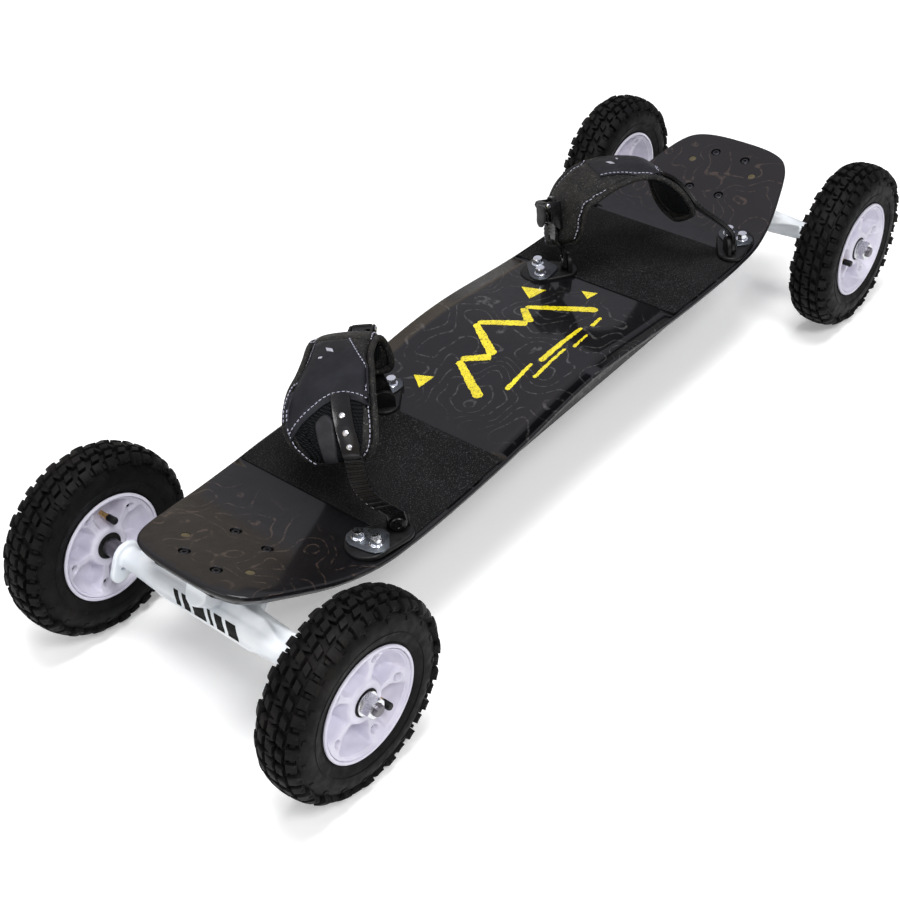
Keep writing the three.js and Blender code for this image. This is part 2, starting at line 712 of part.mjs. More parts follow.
// Riveted strap from the pad's outboard side down to the outboard foot
function strapOutboard(shape) {
  const half = strapWidth / 2;
  const rings = band(archRows(shape).map((row) => ({ ...row, half: -shape.strapOffset })), 0, 0, null, strapLevel);
  const seat = rings.slice(-7, -2).map((ring) => ring[0]);
  const run = seat.map((p) => ({ s: p.x, h: p.z, w: p.y, half, turn: shape.turn }));
  const first = run[0];
  run.unshift({ ...first, s: first.s - strapWidth / 4, h: first.h + strapThickness / 2, half: half / 2 });
  const last = run[run.length - 1];
  const toEye = (share) => ({
    s: last.s + (eyeAt - last.s) * share, h: last.h + (eyeNeck - last.h) * share,
    w: last.w * (1 - share), half: half * (1 - share) + eyeRadius * share, turn: shape.turn * (1 - share),
  });
  run.push(toEye(0.35), toEye(0.7), toEye(1));
  run.push({ s: eyeAt, h: 0, w: 0, half: eyeRadius }, { s: eyeAt, h: -eyeRadius * 0.7, w: 0, half: eyeRadius * 0.7 });
  return cut(loft(band(run, strapThickness)), eyeHole(eyeAt));
}

function eyeHole(s) {
  return rod("x", eyePinRadius + runGap, s - eyeThickness * 2, s + eyeThickness * 2, 0, 0, 16);
}

// Places of the buckle, off the straight inboard side of the pad and before the arch's turn
const buckleH = 57;
const buckleSeat = ({ arch }) => ({ s: arch[2][0], w: arch[2][2] });
const buckleFace = -padSkin;
const ladderAt = buckleFace - seatGap - buckleFloor - seatGap - strapThickness / 2;
const slotDepth = strapThickness + toothHeight + seatGap * 2;
const buckleOuter = buckleFace - seatGap - buckleFloor - slotDepth - buckleTop;
const hingeS = buckleOuter - leverBarrel;
const hingeH = buckleH + buckleLength / 2 - leverBarrel;
const earWidth = (buckleWidth - leverWidth) / 2 - runGap;

function onInboardSide(geometry, shape) {
  const { s, w } = buckleSeat(shape);
  return geometry.rotateZ(shape.turn * RAD).translate(s, w, 0);
}

// Ladder strap: from the inboard foot up through the buckle, with its teeth outwards
function ladderStrap(shape) {
  const half = ladderWidth / 2;
  const seat = buckleSeat(shape);
  const topEnd = buckleH + buckleLength / 2 + strapWidth / 2;
  const { turn } = shape;
  const s = seat.s + ladderAt * Math.cos(turn * RAD);
  const w = seat.w + ladderAt * Math.sin(turn * RAD);
  const start = buckleH - buckleLength / 2;
  const run = [
    { s: -eyeAt, h: -eyeRadius * 0.7, w: 0, half: eyeRadius * 0.7 }, { s: -eyeAt, h: 0, w: 0, half: eyeRadius },
    { s: -eyeAt, h: eyeNeck, w: 0, half },
    { s, h: eyeNeck * 2, w: w * 0.7, half, turn: turn * 0.7 },
    { s, h: start - strapThickness, w, half, turn },
  ];
  for (let h = start; h < topEnd - toothPitch; h += toothPitch) {
    run.push({ s, h, w, half, turn }, { s, h: h + toothPitch * 0.7, w, half, turn, extra: toothHeight });
  }
  run.push({ s, h: topEnd, w, half: half * 0.7, turn });
  return cut(loft(band(run, strapThickness)), eyeHole(-eyeAt));
}

// Buckle body round the ladder strap, open above and below for it
function buckleBody() {
  const inner = buckleFace - seatGap;
  const bottom = buckleH - buckleLength / 2;
  const body = box(buckleOuter, inner, -buckleWidth / 2, buckleWidth / 2, bottom, bottom + buckleLength);
  const slot = box(buckleOuter + buckleTop, inner - buckleFloor, -ladderWidth / 2 - seatGap, ladderWidth / 2 + seatGap,
    bottom - cutOverrun, bottom + buckleLength + cutOverrun);
  const ears = [-1, 1].map((side) => {
    const outer = (side * buckleWidth) / 2;
    const [y0, y1] = [outer, outer - side * earWidth].sort((a, b) => a - b);
    return unite(rod("y", leverBarrel, y0, y1, hingeS, hingeH, 12),
      box(hingeS, buckleOuter + buckleTop / 2, y0, y1, hingeH - leverBarrel, hingeH + leverBarrel));
  });
  return unite(cut(body, slot), ...ears);
}

// Lever on the buckle: a barrel at its hinge and a tongue that lies down along the buckle
function buckleLever() {
  const half = leverWidth / 2;
  const barrel = rod("y", leverBarrel - runGap, -half, half, hingeS, hingeH, 12);
  const outer = hingeS - leverBarrel + runGap;
  const tongue = new THREE.ExtrudeGeometry(discHull([
    [leverThickness - half, hingeH, leverThickness], [half - leverThickness, hingeH, leverThickness],
    [0, hingeH - leverLength + half * 0.8, half * 0.8],
  ], 16), { depth: leverThickness, bevelEnabled: false });
  tongue.rotateX(Math.PI / 2).rotateZ(Math.PI / 2);
  return unite(barrel, tongue.translate(outer, 0, 0));
}

// Feet: moulded base, metal plate with two bolts, and an ear whose pin carries the strap's eye
const footBottom = deckTopHeight + seatGap + gripThickness + seatGap;
function foot(place, pivot, side) {
  const mid = new THREE.Vector2(...place);
  const toPivot = new THREE.Vector2(...pivot).sub(mid);
  const earCentre = mid.clone().add(toPivot);
  const base = plate(discHull([[mid.x, mid.y, footRadius], [earCentre.x, earCentre.y, footPivotRadius]], 16),
    footBottom, footBottom + footHeight);
  const toeward = new THREE.Vector2(toe.x, toe.y);
  const spread = (k) => mid.clone().addScaledVector(toeward, (k * footBoltSpread) / 2);
  const plateTop = footBottom + footHeight + footPlate;
  const metal = plate(discHull([-1, 1].map((k) => [...spread(k).toArray(), footPlateRadius * 0.75]), 12),
    footBottom + footHeight / 2, plateTop);
  const heads = [-1, 1].map((k) => {
    const p = spread(k);
    return hexagon(footBoltWidth).scale(1, footBoltHeight, 1).rotateX(Math.PI / 2)
      .translate(p.x, p.y, plateTop + footBoltHeight / 2 - seatGap);
  });
  const span = (from, to) => [side * from, side * to].sort((a, b) => a - b);
  const earFace = eyeAt - eyeThickness / 2 - seatGap;
  const headFace = eyeAt + eyeThickness / 2 + seatGap;
  const [s0, s1] = span(earFace - earThickness, earFace);
  const drop = footBottom + footHeight / 2 - pivotHeight;
  const ear = unite(rod("x", earRadius, s0, s1, 0, 0, 16), box(s0, s1, -earRadius, earRadius, drop, 0));
  const pin = rod("x", eyePinRadius, ...span(earFace - earThickness / 2, headFace + pinHeadThickness / 2), 0, 0, 12);
  const head = rod("x", pinHeadRadius, ...span(headFace, headFace + pinHeadThickness), 0, 0, 14);
  const stand = unite(ear, pin, head).applyMatrix4(standFrame);
  const all = unite(base, metal, ...heads, stand);
  const deckRoom = sidePlate(deckProfile(-deckThickness, seatGap), -deckWidth, deckWidth);
  return cut(all, deckRoom);
}

const plastic = material(0x161616, 0.5);
const leather = material(0x1d1e20, 0.6);
for (const [end, shape] of Object.entries(bindingShapes)) {
  const frame = archFrame(shape.lean);
  const parts = [
    ["foot_inboard", foot(plateInboard, pivotInboard, -1), plastic],
    ["foot_outboard", foot(plateOutboard, pivotOutboard, 1), plastic],
    ["pad", padBody(shape).applyMatrix4(frame), leather],
    ["strap_outboard", strapOutboard(shape).applyMatrix4(frame), plastic],
    ["ladder_strap", ladderStrap(shape).applyMatrix4(frame), plastic],
    ["buckle", onInboardSide(buckleBody(), shape).applyMatrix4(frame), plastic],
    ["buckle_lever", onInboardSide(buckleLever(), shape).applyMatrix4(frame), plastic],
  ];
  for (const [name, geometry, finish] of parts) {
    add(board, `${name}_${end}`, end === "near" ? mirrored(geometry) : geometry, finish.clone());
  }
}

export default board;
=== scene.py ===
import json
import math
import random

import bmesh
import bpy
from mathutils import Matrix, Vector
from mathutils.bvhtree import BVHTree
from mathutils.geometry import delaunay_2d_cdt

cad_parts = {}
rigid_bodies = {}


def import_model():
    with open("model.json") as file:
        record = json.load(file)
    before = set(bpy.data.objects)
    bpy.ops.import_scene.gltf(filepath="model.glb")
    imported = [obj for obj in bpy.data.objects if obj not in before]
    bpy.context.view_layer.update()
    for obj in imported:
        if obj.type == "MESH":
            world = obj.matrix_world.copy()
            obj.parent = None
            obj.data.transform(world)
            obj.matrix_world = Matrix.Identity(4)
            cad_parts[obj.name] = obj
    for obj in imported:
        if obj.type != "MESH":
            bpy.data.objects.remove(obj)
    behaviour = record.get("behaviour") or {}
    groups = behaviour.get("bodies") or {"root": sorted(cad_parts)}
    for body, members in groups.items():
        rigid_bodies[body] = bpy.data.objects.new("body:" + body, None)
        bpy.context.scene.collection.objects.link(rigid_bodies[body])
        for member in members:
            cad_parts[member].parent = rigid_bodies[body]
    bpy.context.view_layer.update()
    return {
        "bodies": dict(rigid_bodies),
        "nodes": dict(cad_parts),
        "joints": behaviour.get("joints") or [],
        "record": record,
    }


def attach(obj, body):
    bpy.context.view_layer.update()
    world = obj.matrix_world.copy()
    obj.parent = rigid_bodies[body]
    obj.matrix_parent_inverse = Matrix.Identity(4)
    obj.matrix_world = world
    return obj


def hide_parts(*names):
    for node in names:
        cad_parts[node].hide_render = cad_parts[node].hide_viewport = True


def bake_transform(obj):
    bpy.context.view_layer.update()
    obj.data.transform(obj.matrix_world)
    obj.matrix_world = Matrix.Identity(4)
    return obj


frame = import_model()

random.seed(7)
MM = 0.001
nodes = frame["nodes"]
ENDS = (("near", -1), ("far", 1))


# Camera, solved from the photograph's wheels, bolts and deck edges

camera_data = bpy.data.cameras.new("camera")
camera_data.sensor_width = 36
camera_data.lens = 58.35
camera_data.clip_start = 0.05
camera_data.clip_end = 60
camera = bpy.data.objects.new("camera", camera_data)
bpy.context.scene.collection.objects.link(camera)
right = Vector((0.63165, -0.77345, -0.05286)).normalized()
forward = Vector((0.58098, 0.51741, -0.62829)).normalized()
upward = right.cross(forward).normalized()
basis = Matrix((right, upward, -forward)).transposed().to_4x4()
camera.matrix_world = Matrix.Translation(Vector((-1013.83, -805.20, 1045.02)) * MM) @ basis
bpy.context.scene.camera = camera


# Materials

class Nodes:
    """Short names for building the nodes of a material or of the world."""

    def __init__(self, owner):
        owner.use_nodes = True
        self.owner = owner
        self.tree = owner.node_tree
        self.shader = self.tree.nodes.get("Principled BSDF")

    def new(self, kind, **values):
        node = self.tree.nodes.new(kind)
        for key, value in values.items():
            if key[0] == "_":
                node.inputs[key[1:].replace("_", " ")].default_value = value
            else:
                setattr(node, key, value)
        return node

    def link(self, a, b):
        self.tree.links.new(a, b)

    def coords(self, scale=1.0, stretch=(1, 1, 1)):
        source = self.new("ShaderNodeTexCoord")
        mapping = self.new("ShaderNodeMapping")
        mapping.inputs["Scale"].default_value = [scale * s for s in stretch]
        self.link(source.outputs["Object"], mapping.inputs["Vector"])
        return mapping.outputs["Vector"]

    def noise(self, size_mm, detail=3.0, rough=0.6, stretch=(1, 1, 1)):
        node = self.new("ShaderNodeTexNoise", _Scale=1.0, _Detail=detail, _Roughness=rough)
        self.link(self.coords(1000.0 / size_mm, stretch), node.inputs["Vector"])
        return node.outputs["Fac"]

    def cells(self, size_mm, feature="F1"):
        node = self.new("ShaderNodeTexVoronoi", feature=feature, _Scale=1.0)
        self.link(self.coords(1000.0 / size_mm), node.inputs["Vector"])
        return node.outputs["Distance"]

    def wave(self, scale, distortion, direction):
        node = self.new("ShaderNodeTexWave", _Scale=1.0, _Distortion=distortion, bands_direction=direction)
        self.link(self.coords(scale), node.inputs["Vector"])
        return node.outputs["Fac"]

    def spread(self, value, low, high, out_low=0.0, out_high=1.0):
        node = self.new("ShaderNodeMapRange", interpolation_type="SMOOTHSTEP",
                        _From_Min=low, _From_Max=high, _To_Min=out_low, _To_Max=out_high)
        self.link(value, node.inputs["Value"])
        return node.outputs["Result"]

    def math(self, operation, a, b=None):
        node = self.new("ShaderNodeMath", operation=operation)
        for slot, value in zip(node.inputs, (a, b)):
            if value is None:
                continue
            if isinstance(value, (int, float)):
                slot.default_value = value
            else:
                self.link(value, slot)
        return node.outputs[0]

    def mix(self, factor, a, b):
        node = self.new("ShaderNodeMix", data_type="RGBA")
        self.link(factor, node.inputs["Factor"])
        for slot, value in ((node.inputs[6], a), (node.inputs[7], b)):
            if isinstance(value, tuple):
                slot.default_value = (*value, 1)
            else:
                self.link(value, slot)
        return node.outputs[2]

    def color(self, value):
        if isinstance(value, tuple):
            self.shader.inputs["Base Color"].default_value = (*value, 1)
        else:
            self.link(value, self.shader.inputs["Base Color"])

    def set(self, **values):
        for key, value in values.items():
            socket = self.shader.inputs[key.replace("_", " ")]
            if isinstance(value, (int, float, tuple)):
                socket.default_value = value
            else:
                self.link(value, socket)

    def bump(self, *heights, distance_mm=0.3, strength=0.6):
        normal = None
        for height in heights:
            node = self.new("ShaderNodeBump", _Strength=strength, _Distance=distance_mm * MM)
            self.link(height, node.inputs["Height"])
            if normal is not None:
                self.link(normal, node.inputs["Normal"])
            normal = node.outputs["Normal"]
        self.link(normal, self.shader.inputs["Normal"])

    def tone(self, size_mm, dark, light, detail=3.0, rough=0.6, low=0.35, high=0.7):
        """Slow change between two colours."""
        return self.mix(self.spread(self.noise(size_mm, detail, rough), low, high), dark, light)

    def rough(self, size_mm, smooth, dull, detail=3.0, **values):
        """Uneven roughness, and the shader's other values."""
        self.set(Roughness=self.spread(self.noise(size_mm, detail), 0.3, 0.7, smooth, dull), **values)


def material(name):
    return Nodes(bpy.data.materials.new(name))


def srgb(r, g, b):
    def lin(c):
        c = c / 255
        return c / 12.92 if c <= 0.04045 else ((c + 0.055) / 1.055) ** 2.4
    return (lin(r), lin(g), lin(b))


def make(name, tone, rough, relief, distance_mm, strength, **values):
    """Material with a slow change of colour, an uneven roughness and a fine relief."""
    n = material(name)
    n.color(n.tone(*tone))
    n.rough(*rough, **values)
    heights = [n.cells(*spec) if isinstance(spec[-1], str) else n.noise(*spec) for spec in relief]
    n.bump(*heights, distance_mm=distance_mm, strength=strength)
    return n.owner


def metal(name, color, rough):
    worn = tuple(c * 0.72 for c in color)
    return make(name, (14, color, worn, 3, 0.6, 0.4, 0.8), (3, rough * 0.75, rough * 1.35),
                [(0.8, 2)], 0.015, 0.3, Metallic=1.0)


def plastic(name, color, rough=0.5, shine=0.18):
    light = tuple(min(1, c * 1.5 + 0.002) for c in color)
    return make(name, (16, color, light, 3, 0.6, 0.35, 0.75), (5, rough * 0.8, rough * 1.25),
                [(0.9, "F1"), (4, 2)], 0.05, 0.4, Specular_IOR_Level=shine)


def make_pebble():
    n = material("pad_pebbled_leather")
    body = n.tone(16, srgb(18, 18, 19), srgb(33, 32, 30), 4, 0.65, 0.35, 0.75)
    fleck = n.spread(n.noise(1.7, 2, 0.7), 0.58, 0.70)
    n.color(n.mix(fleck, body, srgb(84, 83, 78)))
    n.rough(7, 0.5, 0.68, Specular_IOR_Level=0.2)
    grain = n.spread(n.cells(1.9, "DISTANCE_TO_EDGE"), 0.0, 0.22)
    n.bump(grain, n.noise(12, 3), distance_mm=0.4, strength=0.7)
    return n.owner


def make_mesh_fabric():
    n = material("pad_mesh_fabric")
    both = n.math("MULTIPLY", n.wave(200.0, 0.6, "X"), n.wave(200.0, 0.6, "Z"))
    n.color(n.mix(both, srgb(6, 7, 8), srgb(34, 36, 38)))
    n.rough(9, 0.8, 0.95, Specular_IOR_Level=0.05)
    n.bump(both, n.noise(16, 3), distance_mm=0.4, strength=0.6)
    return n.owner


def make_thread():
    n = material("thread")
    twist = n.wave(375.0, 1.0, "DIAGONAL")
    n.color(n.mix(twist, srgb(120, 120, 136), srgb(186, 186, 204)))
    n.rough(1, 0.6, 0.8, 2)
    n.bump(twist, distance_mm=0.1, strength=0.5)
    return n.owner


def make_grip():
    n = material("grip_tape")
    fleck = n.spread(n.noise(1.3, 2, 0.7), 0.56, 0.68)
    n.color(n.mix(fleck, n.tone(70, srgb(20, 20, 21), srgb(28, 28, 29), 4), srgb(66, 66, 68)))
    n.rough(3, 0.82, 0.98, 2, Specular_IOR_Level=0.06)
    n.bump(n.cells(1.1), n.noise(1.1, 3), distance_mm=0.35, strength=0.8)
    return n.owner


def make_deck():
    """Black lacquer with faint contour lines in the middle and on both tips, where their warmer, lighter colour is a
    painted reflection of the brownish studio light.
    """
    n = material("deck_lacquer")
    base = n.tone(90, srgb(9, 8, 10), srgb(15, 14, 17), 4)
    steps = n.math("FRACT", n.math("MULTIPLY", n.noise(105, 2, 0.5), 17.0))
    line = n.spread(n.math("ABSOLUTE", n.math("SUBTRACT", steps, 0.5)), 0.03, 0.09, 1.0, 0.0)
    line = n.math("MULTIPLY", line, n.spread(n.noise(7, 4, 0.7), 0.42, 0.6))
    place = n.new("ShaderNodeSeparateXYZ")
    n.link(n.coords(1.0), place.inputs[0])
    off = n.math("ABSOLUTE", place.outputs["X"])
    middle = n.spread(off, 0.10, 0.15, 1.0, 0.0)
    tips = n.math("MULTIPLY", n.spread(off, 0.325, 0.35), n.spread(off, 0.45, 0.47, 1.0, 0.0))
    gray = n.math("MULTIPLY", n.math("MULTIPLY", line, middle), 0.36)
    # Painted reflection: on the tips the contour lines take a warm, lighter colour that stands for the brownish light
    # the glossy tips reflect; the lines themselves are a print.
    tip_lines_and_reflection = n.math("MULTIPLY", n.math("MULTIPLY", line, tips), 0.34)
    n.color(n.mix(tip_lines_and_reflection, n.mix(gray, base, srgb(104, 102, 102)), srgb(92, 78, 70)))
    n.rough(14, 0.4, 0.55, Specular_IOR_Level=0.1, Coat_Weight=0.5, Coat_Roughness=0.075)
    n.bump(n.noise(40, 2), distance_mm=0.04, strength=0.15)
    return n.owner


def make_paint():
    n = material("print_yellow")
    fleck = n.spread(n.noise(3.2, 5, 0.75, (1, 2.2, 1)), 0.36, 0.47)
    n.color(n.mix(fleck, srgb(52, 50, 26), n.tone(14, srgb(214, 196, 22), srgb(236, 218, 30))))
    n.rough(8, 0.24, 0.4, Coat_Weight=0.4, Coat_Roughness=0.1)
    n.bump(n.noise(3.2, 3), distance_mm=0.03, strength=0.3)
    return n.owner


def make_floor():
    """Pale floor that looks whiter to the camera, the more the farther off."""
    n = material("floor")
    n.color(n.tone(400, (0.93, 0.93, 0.93), (0.95, 0.95, 0.95), low=0.3))
    n.set(Roughness=0.9, Specular_IOR_Level=0.1, Emission_Color=(1, 1, 1, 1))
    rays = n.new("ShaderNodeLightPath")
    place = n.new("ShaderNodeSeparateXYZ")
    n.link(n.coords(1.0), place.inputs[0])
    across, along = (n.math("MULTIPLY", place.outputs[key], place.outputs[key]) for key in ("X", "Y"))
    distant = n.spread(n.math("ADD", across, along), 1.5, 9.0, 0.22, 1.0)
    n.set(Emission_Strength=n.math("MULTIPLY", rays.outputs["Is Camera Ray"], distant))
    return n.owner


TYRE = make("tyre_rubber", (46, srgb(10, 10, 11), srgb(28, 26, 24), 4, 0.65, 0.45, 0.8), (9, 0.52, 0.72),
            [(1.4, 3), (7, 2)], 0.18, 0.5, Specular_IOR_Level=0.12)
NYLON = make("hub_nylon", (30, srgb(203, 200, 216), srgb(219, 216, 229)), (12, 0.38, 0.5, 2),
             [(2.2, 3)], 0.05, 0.35, Specular_IOR_Level=0.45)
CAST = make("cast_white", (45, srgb(226, 232, 238), srgb(240, 243, 246)), (8, 0.32, 0.45),
            [(1.6, 2), (9, 2)], 0.12, 0.35, Coat_Weight=0.25, Coat_Roughness=0.25)
STEEL = metal("zinc_steel", (0.72, 0.73, 0.75), 0.24)
BRIGHT = metal("bright_steel", (0.8, 0.82, 0.86), 0.16)
PLATE = metal("plate_steel", (0.09, 0.1, 0.11), 0.42)
DARK_STEEL = metal("black_steel", (0.045, 0.045, 0.05), 0.38)
AXLE_STEEL = metal("axle_steel", (0.2, 0.19, 0.21), 0.4)
BRASS = metal("brass", (0.75, 0.5, 0.18), 0.3)
PLASTIC = plastic("moulded_plastic", srgb(14, 14, 15), 0.42)
PLASTIC_SOFT = plastic("strap_plastic", srgb(34, 34, 37))
GLOSS = plastic("glossy_plastic", srgb(9, 9, 10), 0.24, 0.3)
MARK = plastic("pale_mark", srgb(150, 150, 160))
SEAL = plastic("seal_rubber", srgb(24, 25, 24), 0.6)
BUSH = plastic("bushing_rubber", srgb(20, 20, 21), 0.55)
TAN = plastic("hole_filler", srgb(74, 67, 50), 0.6)
LEATHER = make("pad_leather", (26, srgb(22, 23, 27), srgb(32, 33, 38), 4, 0.6, 0.35, 0.75), (9, 0.5, 0.62),
               [(0.9, "DISTANCE_TO_EDGE"), (16, 3)], 0.1, 0.4, Specular_IOR_Level=0.16)
PEBBLE = make_pebble()
FABRIC = make_mesh_fabric()
THREAD = make_thread()
GRIP = make_grip()
DECK = make_deck()
PAINT = make_paint()


# Placing pieces, with millimetres in and metres out

def settle(o, body, slot, *replaced):
    """Put a piece on its body and hide the nodes that it stands for; slot, the name of its finish, is not used."""
    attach(o, body)
    if replaced:
        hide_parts(*replaced)
    return o


def move(x, y, z):
    return Matrix.Translation(Vector((x, y, z)) * MM)


def frame_at(origin, x, y, z):
    """Place with three given axes."""
    m = Matrix((x, y, z)).transposed().to_4x4()
    m.translation = Vector(origin) * MM
    return m


def link(name, mesh, finish, matrix=None, smooth=True, angle=35):
    mesh.materials.append(finish)
    o = bpy.data.objects.new(name, mesh)
    bpy.context.scene.collection.objects.link(o)
    if smooth:
        mesh.shade_smooth()
        if angle:
            mesh.set_sharp_from_angle(angle=math.radians(angle))
    if matrix is not None:
        o.matrix_world = matrix
    return o


# Mesh helpers

def mesh_of(name, points, faces, welded=False):
    mesh = bpy.data.meshes.new(name)
    mesh.from_pydata([(p[0] * MM, p[1] * MM, p[2] * MM) for p in points], [], faces)
    mesh.validate()
    bm = bmesh.new()
    bm.from_mesh(mesh)
    if welded:
        bmesh.ops.remove_doubles(bm, verts=bm.verts, dist=1e-6)
        bmesh.ops.dissolve_degenerate(bm, edges=bm.edges, dist=1e-7)
    bmesh.ops.delete(bm, geom=[v for v in bm.verts if not v.link_faces], context="VERTS")
    bmesh.ops.recalc_face_normals(bm, faces=bm.faces)
    bm.to_mesh(mesh)
    bm.free()
    return mesh


def circle(count):
    """Cosine and sine of equal steps round a circle."""
    return [(math.cos(2 * math.pi * i / count), math.sin(2 * math.pi * i / count)) for i in range(count)]


def strip(low, high):
    """Quads between two equal closed loops of point numbers."""
    return list(zip(low, low[1:] + low[:1], high[1:] + high[:1], high))


def loft_rings(rings, loop=False):
    """Points and quads through equal rings of points, ending in caps or joined into a loop."""
    size = len(rings[0])
    rows = [list(range(k * size, (k + 1) * size)) for k in range(len(rings))]
    faces = [f for low, high in zip(rows, rows[1:] + rows[:1] if loop else rows[1:]) for f in strip(low, high)]
    if not loop:
        faces += [tuple(rows[0][::-1]), tuple(rows[-1])]
    return [p for ring in rings for p in ring], faces


def rim_of(rows, cols):
    """Corners of a grid in order round its edge."""
    edge = [(0, j) for j in range(cols)] + [(i, cols) for i in range(rows)]
    return edge + [(rows, cols - j) for j in range(cols)] + [(rows - i, 0) for i in range(rows)]


def sheet(rows, cols, corner):
    """Thin closed sheet: corner(i, j) gives the upper and the lower point."""
    corners = [corner(i, j) for i in range(rows + 1) for j in range(cols + 1)]
    wide, base = cols + 1, len(corners)
    faces = []
    for i in range(rows):
        for j in range(cols):
            a, b, c, d = i * wide + j, i * wide + j + 1, (i + 1) * wide + j + 1, (i + 1) * wide + j
            faces += [(a, b, c, d), (base + d, base + c, base + b, base + a)]
    rim = [i * wide + j for i, j in rim_of(rows, cols)]
    faces += strip(rim, [base + k for k in rim])
    return [tuple(c[0]) for c in corners] + [tuple(c[1]) for c in corners], faces


def add_part(points, faces, part):
    base = len(points)
    points.extend(part[0])
    faces.extend(tuple(i + base for i in face) for face in part[1])


AXES = {"X": lambda r, y, c, s: (y, r * c, r * s),
        "Y": lambda r, y, c, s: (r * s, y, r * c),
        "Z": lambda r, y, c, s: (r * c, r * s, y)}


def turned(section, segments, axis="Y"):
    """Solid of revolution whose section(angle), a list of (radius, place along the axis), may change."""
    rings = []
    for i in range(segments):
        a = 2 * math.pi * i / segments
        rings.append([AXES[axis](r, y, math.cos(a), math.sin(a)) for r, y in section(a)])
    return loft_rings(rings, loop=True)


def lathe(name, profile, segments, finish, matrix=None, axis="Y"):
    points, faces = turned(lambda a: profile, segments, axis)
    return link(name, mesh_of(name, points, faces, welded=True), finish, matrix)


def hexagon(across, a):
    """Distance of a hexagon's side from its middle, at an angle."""
    return across / 2 / math.cos((a + math.pi / 6) % (math.pi / 3) - math.pi / 6)


def hex_head(name, across, height, finish, matrix, hollow, chamfer):
    """Hexagonal head or nut with a turned chamfer at its top, along +Y."""
    flat, corner = across / 2 * 0.98, across / 2 / math.cos(math.pi / 6)

    def section(a):
        edge = hexagon(across, a)
        low = height - chamfer * max(0.0, (edge - flat) / (corner - flat)) - 0.25
        return [(hollow + 0.001, 0.0), (edge, 0.0), (edge, low), (across / 2 * 0.97, height), (hollow + 0.001, height)]
    return link(name, mesh_of(name, *turned(section, 48)), finish, matrix, angle=30)


def tube(name, path, radius, finish, sides, closed=False):
    """Round bar swept along points."""
    pts = [Vector(p) for p in path]
    rings, normal, count = [], None, len(pts)
    for k, p in enumerate(pts):
        if closed:
            d = (pts[(k + 1) % count] - pts[k - 1]).normalized()
        else:
            d = (pts[min(k + 1, count - 1)] - pts[max(k - 1, 0)]).normalized()
        if normal is None:
            normal = d.orthogonal().normalized()
        normal = (normal - d * normal.dot(d)).normalized()
        side = d.cross(normal)
        rings.append([p + normal * (c * radius) + side * (s * radius) for c, s in circle(sides)])
    return link(name, mesh_of(name, *loft_rings(rings, loop=closed)), finish, angle=50)


def apply_modifiers(o):
    dg = bpy.context.evaluated_depsgraph_get()
    mesh = bpy.data.meshes.new_from_object(o.evaluated_get(dg))
    old = o.data
    o.modifiers.clear()
    o.data = mesh
    if old.users == 0:
        bpy.data.meshes.remove(old)
    return o


def finish_smooth(o, angle):
    o.data.shade_smooth()
    o.data.set_sharp_from_angle(angle=math.radians(angle))


def bevel(o, width_mm, segments=2):
    """Rounded edges."""
    m = o.modifiers.new("bevel", "BEVEL")
    m.width = width_mm * MM
    m.segments = segments
    m.limit_method = "ANGLE"
    m.angle_limit = math.radians(50)
    apply_modifiers(o)
    finish_smooth(o, 60)


def prism(low, high):
    """Solid between two equal loops of points."""
    size = len(low)
    first, second = list(range(size)), list(range(size, 2 * size))
    return low + high, [tuple(first[::-1]), tuple(second)] + strip(first, second)


def extruded(name, outline, z0, z1, finish, matrix=None, rim=1.0, segments=2):
    """Prism of an outline with rounded rims."""
    solid = prism([(x, y, z0) for x, y in outline], [(x, y, z1) for x, y in outline])
    o = link(name, mesh_of(name, *solid), finish, matrix)
    bevel(o, rim, segments)
    return o


def hull_outline(discs, steps):
    """Outline drawn tight round discs of (x, y, radius)."""
    pts = sorted({(round(x + r * c, 4), round(y + r * s, 4)) for x, y, r in discs for c, s in circle(steps)})

    def half(seq):
        out = []
        for p in seq:
            while len(out) > 1 and ((out[-1][0] - out[-2][0]) * (p[1] - out[-2][1])
                                    - (out[-1][1] - out[-2][1]) * (p[0] - out[-2][0])) <= 0:
                out.pop()
            out.append(p)
        return out[:-1]
    return half(pts) + half(pts[::-1])


def smoothstep(a, b, x):
    t = max(0.0, min(1.0, (x - a) / (b - a)))
    return t * t * (3 - 2 * t)


def between(table, x):
    """Straight lines through a table of (x, y)."""
    if x <= table[0][0]:
        return table[0][1]
    for (x0, y0), (x1, y1) in zip(table, table[1:]):
        if x <= x1:
            return y0 + (y1 - y0) * (x - x0) / (x1 - x0)
    return table[-1][1]


def spline(points, t):
    """Catmull-Rom through rows of numbers, t from 0 to 1."""
    count = len(points) - 1
    x = max(0.0, min(0.999999, t)) * count
    k = int(x)
    u = x - k
    p0, p1 = points[max(k - 1, 0)], points[k]
    p2, p3 = points[k + 1], points[min(k + 2, count)]
    return [0.5 * (2 * b + (c - a) * u + (2 * a - 5 * b + 4 * c - d) * u * u + (3 * b - a - 3 * c + d) * u ** 3)
            for a, b, c, d in zip(p0, p1, p2, p3)]


# Wheels

WHEEL_X, WHEEL_Y, WHEEL_RADIUS = 447, 167.5, 100
PITCHES = 38
WHEELS = {}
for end, k in ENDS:
    for side, sign in (("left", 1), ("right", -1)):
        place = move(k * WHEEL_X, sign * WHEEL_Y, WHEEL_RADIUS)
        WHEELS[f"{end}_{side}"] = place if sign > 0 else place @ Matrix.Rotation(math.pi, 4, "X")
SPINS = {"near_left": 2.81, "near_right": 0.175, "far_left": 1.2, "far_right": 4.22}

# Outside of the carcass: radius and distance from the middle plane
CARCASS = [(94.6, 0), (94.5, 5), (93.8, 10), (92.0, 14.5), (88.8, 18.6), (84.4, 21.9), (79.0, 24.0),
           (73.0, 24.6), (67.5, 23.8), (62.5, 22.3), (59.0, 21.0), (57.5, 20.3)]


